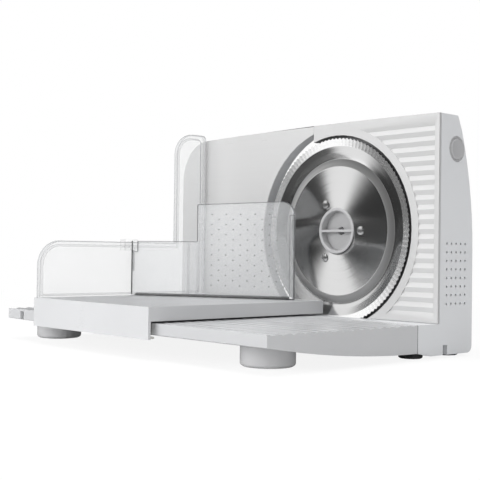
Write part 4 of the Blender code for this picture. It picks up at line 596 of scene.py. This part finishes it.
def finish_of(key):
    """Each finish is made once, from the chosen colours."""
    colours = bpy.context.scene.slicer_colours
    if key not in MADE:
        makers = {
            "plastic": lambda: moulded("light_plastic", tuple(colours.plastic), 0.33),
            "carriage": lambda: moulded("carriage_plastic", tuple(colours.carriage), 0.30),
            # The base's top faces get the light plastic made 1.28 times lighter, painted light on the top.
            "deck_painted_light": lambda: ribbed_deck(
                "ribbed_deck", tuple(c * 1.28 for c in colours.plastic), 0.20,
                corners("base_plate")[0].y, DECK_PITCH,
            ),
            # Dark steel painted into the recess behind the blade as shade.
            "pan_shade": lambda: brushed("pan_painted_shade", (0.25, 0.25, 0.255), 0.34, "Y", 0.4),
            "seam": lambda: moulded("seam_shadow", (0.10, 0.10, 0.105), 0.6),
            "silver": lambda: moulded("silver_plastic", tuple(colours.silver), 0.34),
            "panel": lambda: brushed("brushed_panel", tuple(colours.panel), 0.32, "X", 0.22),
            "plate": lambda: brushed("brushed_plate", tuple(colours.steel), 0.30, "X", 0.30),
            "blade": lambda: turned_steel("blade_steel", tuple(colours.blade), 0.17, AXIS),
            "machined": lambda: brushed("machined_steel", (0.46, 0.46, 0.47), 0.38, "Y"),
            "bright": lambda: brushed("bright_steel", (0.62, 0.62, 0.62), 0.20, "Y", 0.9),
            "knob": lambda: moulded("grey_plastic", tuple(colours.knob), 0.30),
            "button": lambda: moulded("button_plastic", (0.47, 0.47, 0.48), 0.20, metallic=0.15),
            "rubber": lambda: moulded("black_rubber", (0.035, 0.035, 0.037), 0.72, 0.00004, 500.0),
            "black": lambda: moulded("black_plastic", (0.05, 0.05, 0.052), 0.45),
            "nylon": lambda: moulded("white_nylon", (0.78, 0.77, 0.72), 0.48),
            "copper": lambda: brushed("copper_winding", (0.60, 0.28, 0.14), 0.34, "X"),
            "bronze": lambda: moulded("bearing_bronze", (0.50, 0.35, 0.18), 0.42, metallic=1.0),
            "guard": lambda: clear("clear_guard", (0.86, 0.87, 0.88), 0.05, 0.16),
            "rim": lambda: clear("clear_rim_painted_shade", (0.42, 0.43, 0.44), 0.05, 0.42),
            "hook": lambda: clear("clear_hook", (0.86, 0.87, 0.88), 0.05, 0.04),
            "hook_edge_shade": lambda: clear("clear_hook_edge_painted_shade", (0.30, 0.31, 0.32), 0.05, 0.16),
            "guard_line_shade": lambda: clear("clear_guard_line_painted_shade", (0.36, 0.37, 0.38), 0.05, 0.55),
            "pusher_edge_shade": lambda: clear("clear_pusher_edge_painted_shade", (0.16, 0.165, 0.17), 0.05, 0.72),
            "edge_shade": lambda: clear("clear_edge_painted_shade", (0.07, 0.07, 0.07), 0.08, 0.80),
            "spike_shade": lambda: clear("clear_spike_painted_shade", (0.10, 0.10, 0.10), 0.10, 0.85),
            "pusher": lambda: clear("clear_pusher", (0.70, 0.71, 0.72), 0.06, 0.24),
            "foot": lambda: moulded("foot_plastic", (0.64, 0.64, 0.65), 0.18, metallic=0.1),
        }
        MADE[key] = makers[key]()
    return MADE[key]


def paint(node, key):
    """Give a solid that stays its finish."""
    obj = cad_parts[node]
    obj.data.materials.clear()
    obj.data.materials.append(finish_of(key))


class SLICER_OT_solids(bpy.types.Operator):
    """Give the solids that show as they are their finishes"""

    bl_idname = "slicer.solids"
    bl_label = "Finish the plain solids"

    def execute(self, context):
        plan = {
            "machined": [
                "motor_can", "motor_bracket", "spindle", "spindle_plate", "guide_rod_left", "guide_rod_right",
                "motor_shaft", "worm", "cam_follower",
            ],
            "black": ["motor_end_bell", "worm_bearing", "micro_switch", "cooling_fan", "barrel_cam"],
            "bronze": ["hub_bush"],
            "copper": ["armature"],
            "nylon": ["drive_gear", "front_hook", "glide_pad_1", "glide_pad_2", "glide_pad_3", "glide_pad_4"],
            "rubber": [
                "foot_pad_left", "foot_pad_right",
                "rubber_foot_1", "rubber_foot_2", "rubber_foot_3", "rubber_foot_4",
            ],
            "plastic": ["plate_carrier", "thickness_dial"],
            "knob": ["lock_knob", "button_sleeve"],
            "button": ["power_button"],
        }
        for key, nodes in plan.items():
            for node in nodes:
                paint(node, key)
        return {"FINISHED"}


class SLICER_OT_blade(bpy.types.Operator):
    """Dished blade with a ground bevel and a wavy edge"""

    bl_idname = "slicer.blade"
    bl_label = "Blade"

    def execute(self, context):
        sizes = context.scene.slicer_sizes
        steps = sizes.waves * 4
        front = [
            (RADIUS, 0.0), (RADIUS - 0.0073, 0.00085), (RADIUS - 0.0130, 0.0030), (RADIUS - 0.0150, 0.0036),
            (RADIUS - 0.0166, 0.00396), (RADIUS - 0.0178, 0.00413), (RADIUS - 0.0188, 0.00417),
            (RADIUS - 0.0197, 0.00410), (RADIUS - 0.0206, 0.00388), (RADIUS - 0.0218, 0.00345),
            (RADIUS - 0.0234, 0.00284), (RADIUS - 0.0244, 0.00256), (RADIUS - 0.0254, 0.00243),
            (RADIUS - 0.0264, 0.0024), (0.0205, 0.0024),
        ]
        back = [(r, y + 0.0012) for r, y in front[1:]]
        profile = [*front, *back[::-1], front[0]]
        blade = lathe("blade_disc", profile, AXIS, steps)
        edit(blade)
        pick(blade, "VERT", lambda p, n: (p - AXIS).length > RADIUS - 0.0004)
        mesh = bmesh.from_edit_mesh(blade.data)
        for vert in [v for v in mesh.verts if v.select]:
            flat = Vector((vert.co.x - AXIS.x, vert.co.z - AXIS.z))
            phase = sizes.waves * Vector((1, 0)).angle_signed(flat)
            reach = 1 - sizes.wave_depth / RADIUS * (0.5 - 0.5 * cos(phase))
            vert.co.x = AXIS.x + flat.x * reach
            vert.co.z = AXIS.z + flat.y * reach
        bmesh.update_edit_mesh(blade.data)
        done(blade)
        dress(blade, "blade", "polished_steel", finish_of("blade"), "slicing_blade", angle=11.5)
        return {"FINISHED"}


class SLICER_OT_rivets(bpy.types.Operator):
    """Three domed rivets that hold the blade to its wheel"""

    bl_idname = "slicer.rivets"
    bl_label = "Rivets"

    def execute(self, context):
        radius, rise = 0.0039, 0.0010
        for i in range(3):
            low, high = corners(f"blade_rivet_{i + 1}")
            centre = (low + high) / 2
            face = low.y
            profile = [(0.0, 0.0)]
            for angle in (radians(a) for a in (15, 30, 45, 60, 75, 90)):
                profile.append((radius * sin(angle), rise * (1 - cos(angle))))
            rim, shank, end = rise + 0.0004, 0.0019, high.y - face
            profile += [(radius, rim), (shank, rim), (shank, end), (0.0, end)]
            rivet = lathe(f"rivet_{i + 1}", profile, (centre.x, face, centre.z), 40)
            dress(rivet, "blade", "machine_steel", finish_of("bright"), f"blade_rivet_{i + 1}", angle=40)
        return {"FINISHED"}


class SLICER_OT_spring(bpy.types.Operator):
    """Return spring of the push button"""

    bl_idname = "slicer.spring"
    bl_label = "Button spring"

    def execute(self, context):
        coil = copy_of("button_spring", "button_coil", whole=False)
        dress(coil, "machine", "machine_steel", finish_of("machined"), "button_spring", angle=60)
        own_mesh(coil)
        return {"FINISHED"}


class SLICER_OT_panel(bpy.types.Operator):
    """Ribbed steel front panel, with its right edge and the recess behind the blade painted dark as shade"""

    bl_idname = "slicer.panel"
    bl_label = "Front panel"

    def execute(self, context):
        panel = copy_of("front_panel", "panel_sheet", whole=False)
        high = corners("front_panel")[1]
        # Painted shade: the panel's right edge faces take the grey knob plastic, a dark line at the seam with
        # the housing.
        edge = (finish_of("knob"), lambda p, n: n.x > 0.8 and p.x > high.x - 0.0005)
        # Painted shade: the recess behind the blade is painted dark steel.
        pan_shade = (
            finish_of("pan_shade"),
            lambda p, n: p.y > AXIS.y + 0.0004
            and Vector((p.x - AXIS.x, p.z - AXIS.z)).length < RADIUS + 0.004,
        )
        dress(
            panel, "machine", "brushed_face", finish_of("panel"), "front_panel", angle=32, others=(edge, pan_shade)
        )
        return {"FINISHED"}


class SLICER_OT_plate(bpy.types.Operator):
    """Brushed stop plate with the dark line of its top edge"""

    bl_idname = "slicer.plate"
    bl_label = "Stop plate"

    def execute(self, context):
        plate = copy_of("stop_plate", "stop_sheet")
        high = corners("stop_plate")[1]
        edit(plate, "FACE")
        bpy.ops.mesh.select_all(action="SELECT")
        bpy.ops.mesh.bisect(plane_co=(0, 0, high.z - TOP_LINE), plane_no=(0, 0, 1))
        done(plate)
        line = (finish_of("seam"), lambda p, n: p.z > high.z - TOP_LINE)
        dress(plate, "stop", "brushed_face", finish_of("plate"), "stop_plate", angle=50, others=(line,))
        return {"FINISHED"}


class SLICER_OT_shell(bpy.types.Operator):
    """Housings, base, carriage and feet with softly rounded edges"""

    bl_idname = "slicer.shell"
    bl_label = "Moulded shells"

    def execute(self, context):
        width = context.scene.slicer_sizes.edge_round
        shells = (
            ("motor_housing", "housing_shell", "machine", "silver_plastic", "silver", width * 1.4),
            ("base_plate", "base_shell", "machine", "base_plastic", "plastic", width * 0.6),
            ("carriage_table", "carriage_shell", "carriage", "base_plastic", "carriage", width * 0.6),
            ("front_foot_left", "left_foot", "machine", "base_plastic", "foot", width * 1.5),
            ("front_foot_right", "right_foot", "machine", "base_plastic", "foot", width * 1.5),
            ("adjuster_housing", "adjuster_shell", "machine", "silver_plastic", "silver", width),
        )
        seam = corners("base_plate")[1].y
        parts = {
            "base_plate": (
                # The base's top faces take the lighter ribbed finish, painted light on the top.
                (finish_of("deck_painted_light"), lambda p, n: n.z > 0.5 and p.z > DECK_LEVEL),
                (finish_of("seam"), lambda p, n: n.y > 0.8 and p.y > seam - SEAM_REACH),
            ),
            "motor_housing": (
                (finish_of("seam"), lambda p, n: n.y < -0.8 and p.z < 0.030 and p.y < seam + 2 * SEAM_REACH),
            ),
        }
        for node, name, body, slot, key, rounding in shells:
            piece = copy_of(node, name)
            round_edges(piece, rounding, 40)
            dress(piece, body, slot, finish_of(key), node, angle=40, others=parts.get(node, ()))
        return {"FINISHED"}


class SLICER_OT_guard(bpy.types.Operator):
    """Clear guard wall whose edges, and a band round the borders of its side faces, are painted darker as
    shade
    """

    bl_idname = "slicer.guard"
    bl_label = "Guard"

    def execute(self, context):
        guard = copy_of("carriage_guard", "guard_wall")
        round_edges(guard, GUARD_ROUND, 50)
        # Painted shade: the guard's edge faces and an inset band round its side faces are darker and hazier
        # than the clear faces.
        edges = (finish_of("rim"), lambda p, n: abs(n.x) < 0.80)
        band = (GUARD_BAND, finish_of("guard_line_shade"), lambda p, n: abs(n.x) > 0.98)
        dress(
            guard, "carriage", "clear_plastic", finish_of("guard"), "carriage_guard",
            others=(edges,), bands=(band,),
        )
        return {"FINISHED"}


class SLICER_OT_pusher(bpy.types.Operator):
    """Clear food pusher with its edges, foot and spikes painted dark as shade, a thin dark bar along its left
    edge as a painted shade line, and the slider on the guard
    """

    bl_idname = "slicer.pusher"
    bl_label = "Pusher"

    def execute(self, context):
        across = Vector((-sin(PUSHER_YAW), cos(PUSHER_YAW), 0.0))
        flange_width, lip_depth, spike_reach = 0.004, 0.002, 0.0021
        low = corners("pusher_plate")[0]
        plate = copy_of("pusher_plate", "pusher_sheet", whole=False)
        face = max((v.co.dot(across) for v in plate.data.vertices), default=0.0)
        # Painted shade: the pusher's edge faces, a band round its front face, its foot and its spikes are
        # darker and hazier than the clear sheet.
        edges = (finish_of("pusher_edge_shade"), lambda p, n: abs(n.dot(across)) < 0.80)
        foot = (finish_of("edge_shade"), lambda p, n: p.z < low.z + PUSHER_FOOT)
        along = Vector((across.y, -across.x, 0.0))
        left = min(v.co.dot(along) for v in plate.data.vertices)
        front = min(v.co.dot(across) for v in plate.data.vertices)
        band = (
            PUSHER_BAND,
            finish_of("pusher_edge_shade"),
            lambda p, n: n.dot(across) < -0.98 and p.dot(across) > front + lip_depth,
        )
        flange = (
            finish_of("pusher"),
            lambda p, n: p.dot(along) < left + flange_width and n.dot(along) > 0.8,
        )
        line = (
            finish_of("pusher"),
            lambda p, n: p.dot(along) < left + flange_width
            and n.dot(across) < -0.8
            and p.dot(across) < front + lip_depth,
        )
        spikes = (finish_of("spike_shade"), lambda p, n: p.dot(across) > face - spike_reach)
        dress(
            plate, "pusher", "clear_plastic", finish_of("pusher"), "pusher_plate",
            others=(edges, foot, flange, line, spikes), bands=(band,),
        )
        step = max(v.co.z for v in plate.data.vertices if v.co.dot(along) < left + 0.030)
        second(plate, finish_of("pusher"), lambda p, n: p.dot(along) < left + 0.005 and p.z > low.z + 0.0025)
        # A thin dark bar along the pusher's left edge, a painted shade line.
        wide, deep = along * EDGE_BAR_SIZE[0], across * EDGE_BAR_SIZE[1]
        lift = low.z + 0.0012
        corner = along * (left + 0.0017) + across * (front - 0.0002) + Vector((0, 0, lift))
        outline = [corner, corner + wide, corner + wide + deep, corner + deep]
        edge = slab("pusher_left_edge_shade", outline, (0, 0, step - lift))
        round_edges(edge, EDGE_BAR_ROUND, 40)
        dress(edge, "pusher", "clear_plastic", finish_of("edge_shade"))
        saddle = copy_of("pusher_slider", "pusher_saddle")
        # Painted shade: the slider's side faces are darker and hazier than the clear ones.
        edges = (finish_of("hook_edge_shade"), lambda p, n: abs(n.x) < 0.6)
        dress(saddle, "pusher_saddle", "clear_plastic", finish_of("hook"), "pusher_slider", others=(edges,))
        return {"FINISHED"}


class SLICER_OT_stage(bpy.types.Operator):
    """Pale floor, white surroundings, soft lights and the camera"""

    bl_idname = "slicer.stage"
    bl_label = "Studio and camera"

    def execute(self, context):
        scene = context.scene
        scene.view_settings.view_transform = "Standard"
        self.floor()
        self.world(scene)
        self.lights()
        self.camera(scene)
        return {"FINISHED"}

    def floor(self):
        fresh()
        bpy.ops.mesh.primitive_plane_add(size=8.0, location=(0, 0, -0.0002))
        floor = bpy.context.object
        floor.name = "floor"
        done(floor)
        finish = Finish("floor_white", (0.90, 0.90, 0.90), 0.9)
        seen = finish.node("ShaderNodeEmission", Color=(1.0, 1.0, 1.0, 1.0))
        x, y, _ = finish.parts(finish.place())
        away = (x * x + y * y).math("SQRT")
        near = 1.0 - away.ramp(0.40, 1.60)
        mirrored = finish.node("ShaderNodeEmission", Color=near * 0.12 + 0.06, Strength=1.0)
        share = away.ramp(0.35, 1.10) * 0.12 + 0.88
        by_ray(
            finish.tree, finish.shader.outputs[0], mirrored.outputs[0], seen.outputs[0],
            "Material Output", share,
        )
        floor.data.materials.append(finish.material)

    def world(self, scene):
        world = bpy.data.worlds.new("studio")
        scene.world = world
        world.use_nodes = True
        tree = world.node_tree
        base = tree.nodes["Background"]
        base.inputs["Color"].default_value = (1.0, 1.0, 1.0, 1.0)
        base.inputs["Strength"].default_value = 0.50
        source = add_node(tree, "ShaderNodeTexCoord").outputs["Generated"]
        split = add_node(tree, "ShaderNodeSeparateXYZ", Vector=source)
        x, y, z = [Field(tree, output) for output in split.outputs]
        strip_level, overhead_level, room_level = 1.24, 0.40, 0.05
        upright = strip_light(x, y) * z.ramp(0.09, 0.27) * strip_level
        overhead = z.ramp(0.75, 0.95) * overhead_level
        gloss = add_node(tree, "ShaderNodeBackground", Strength=upright + overhead + room_level)
        seen = add_node(tree, "ShaderNodeBackground", Color=(1.0, 1.0, 1.0, 1.0), Strength=1.0)
        by_ray(tree, base.outputs[0], gloss.outputs[0], seen.outputs[0], "World Output")

    def lights(self):
        aim = Vector((0, 0, 0.1))
        for name, place, size, power in (
            ("front_softbox", (-0.4, -1.9, 0.7), (1.6, 1.0), 26.0),
            ("top_softbox", (0.0, -0.2, 1.6), (1.4, 1.0), 19.0),
            ("right_softbox", (1.6, -0.3, 0.6), (0.8, 0.8), 4.0),
        ):
            lamp = bpy.data.lights.new(name, "AREA")
            lamp.shape = "RECTANGLE"
            lamp.size, lamp.size_y = size
            lamp.energy = power
            obj = bpy.data.objects.new(name, lamp)
            bpy.context.scene.collection.objects.link(obj)
            obj.location = place
            obj.rotation_mode = "QUATERNION"
            obj.rotation_quaternion = (aim - Vector(place)).to_track_quat("-Z", "Y")
            obj.visible_glossy = False

    def camera(self, scene):
        eye = at(0.5939, -0.6551, 0.08595)
        pixels = 480.0
        focal = 961.67
        turn, pitch, roll = EYE_TURN, radians(0.707), radians(0.735)
        ahead = Vector((-sin(turn) * cos(pitch), cos(turn) * cos(pitch), sin(pitch)))
        right = Vector((cos(turn), sin(turn), 0.0))
        up = right.cross(ahead)
        right_rolled = right * cos(roll) + up * sin(roll)
        up_rolled = right * -sin(roll) + up * cos(roll)
        data = bpy.data.cameras.new("camera")
        data.sensor_width = 36.0
        data.lens = 36.0 * focal / pixels
        data.clip_start = 0.05
        data.clip_end = 60.0
        camera = bpy.data.objects.new("camera", data)
        scene.collection.objects.link(camera)
        turned = Matrix((right_rolled, up_rolled, -ahead)).transposed().to_4x4()
        camera.matrix_world = Matrix.Translation(eye) @ turned
        scene.camera = camera


class SLICER_PT_panel(bpy.types.Panel):
    """Buttons for the slicer's pieces"""

    bl_idname = "SLICER_PT_panel"
    bl_label = "Slicer"
    bl_space_type = "VIEW_3D"
    bl_region_type = "UI"
    bl_category = "Slicer"

    def draw(self, context):
        layout = self.layout
        for name in SlicerColours.__annotations__:
            layout.prop(context.scene.slicer_colours, name)
        for name in SlicerSizes.__annotations__:
            layout.prop(context.scene.slicer_sizes, name)
        for operator in OPERATORS:
            layout.operator(operator.bl_idname)


OPERATORS = (
    SLICER_OT_solids,
    SLICER_OT_blade,
    SLICER_OT_rivets,
    SLICER_OT_spring,
    SLICER_OT_panel,
    SLICER_OT_plate,
    SLICER_OT_shell,
    SLICER_OT_guard,
    SLICER_OT_pusher,
    SLICER_OT_stage,
)
CLASSES = (SlicerColours, SlicerSizes, *OPERATORS, SLICER_PT_panel)


def register():
    """Register the classes and the scene's settings."""
    for item in CLASSES:
        bpy.utils.register_class(item)
    bpy.types.Scene.slicer_colours = bpy.props.PointerProperty(type=SlicerColours)
    bpy.types.Scene.slicer_sizes = bpy.props.PointerProperty(type=SlicerSizes)


def unregister():
    """Take the classes and settings away."""
    del bpy.types.Scene.slicer_sizes
    del bpy.types.Scene.slicer_colours
    for item in reversed(CLASSES):
        bpy.utils.unregister_class(item)


def main():
    """Make every piece in order."""
    register()
    for operator in OPERATORS:
        group, name = operator.bl_idname.split(".")
        getattr(getattr(bpy.ops, group), name)()


if __name__ == "__main__":
    main()
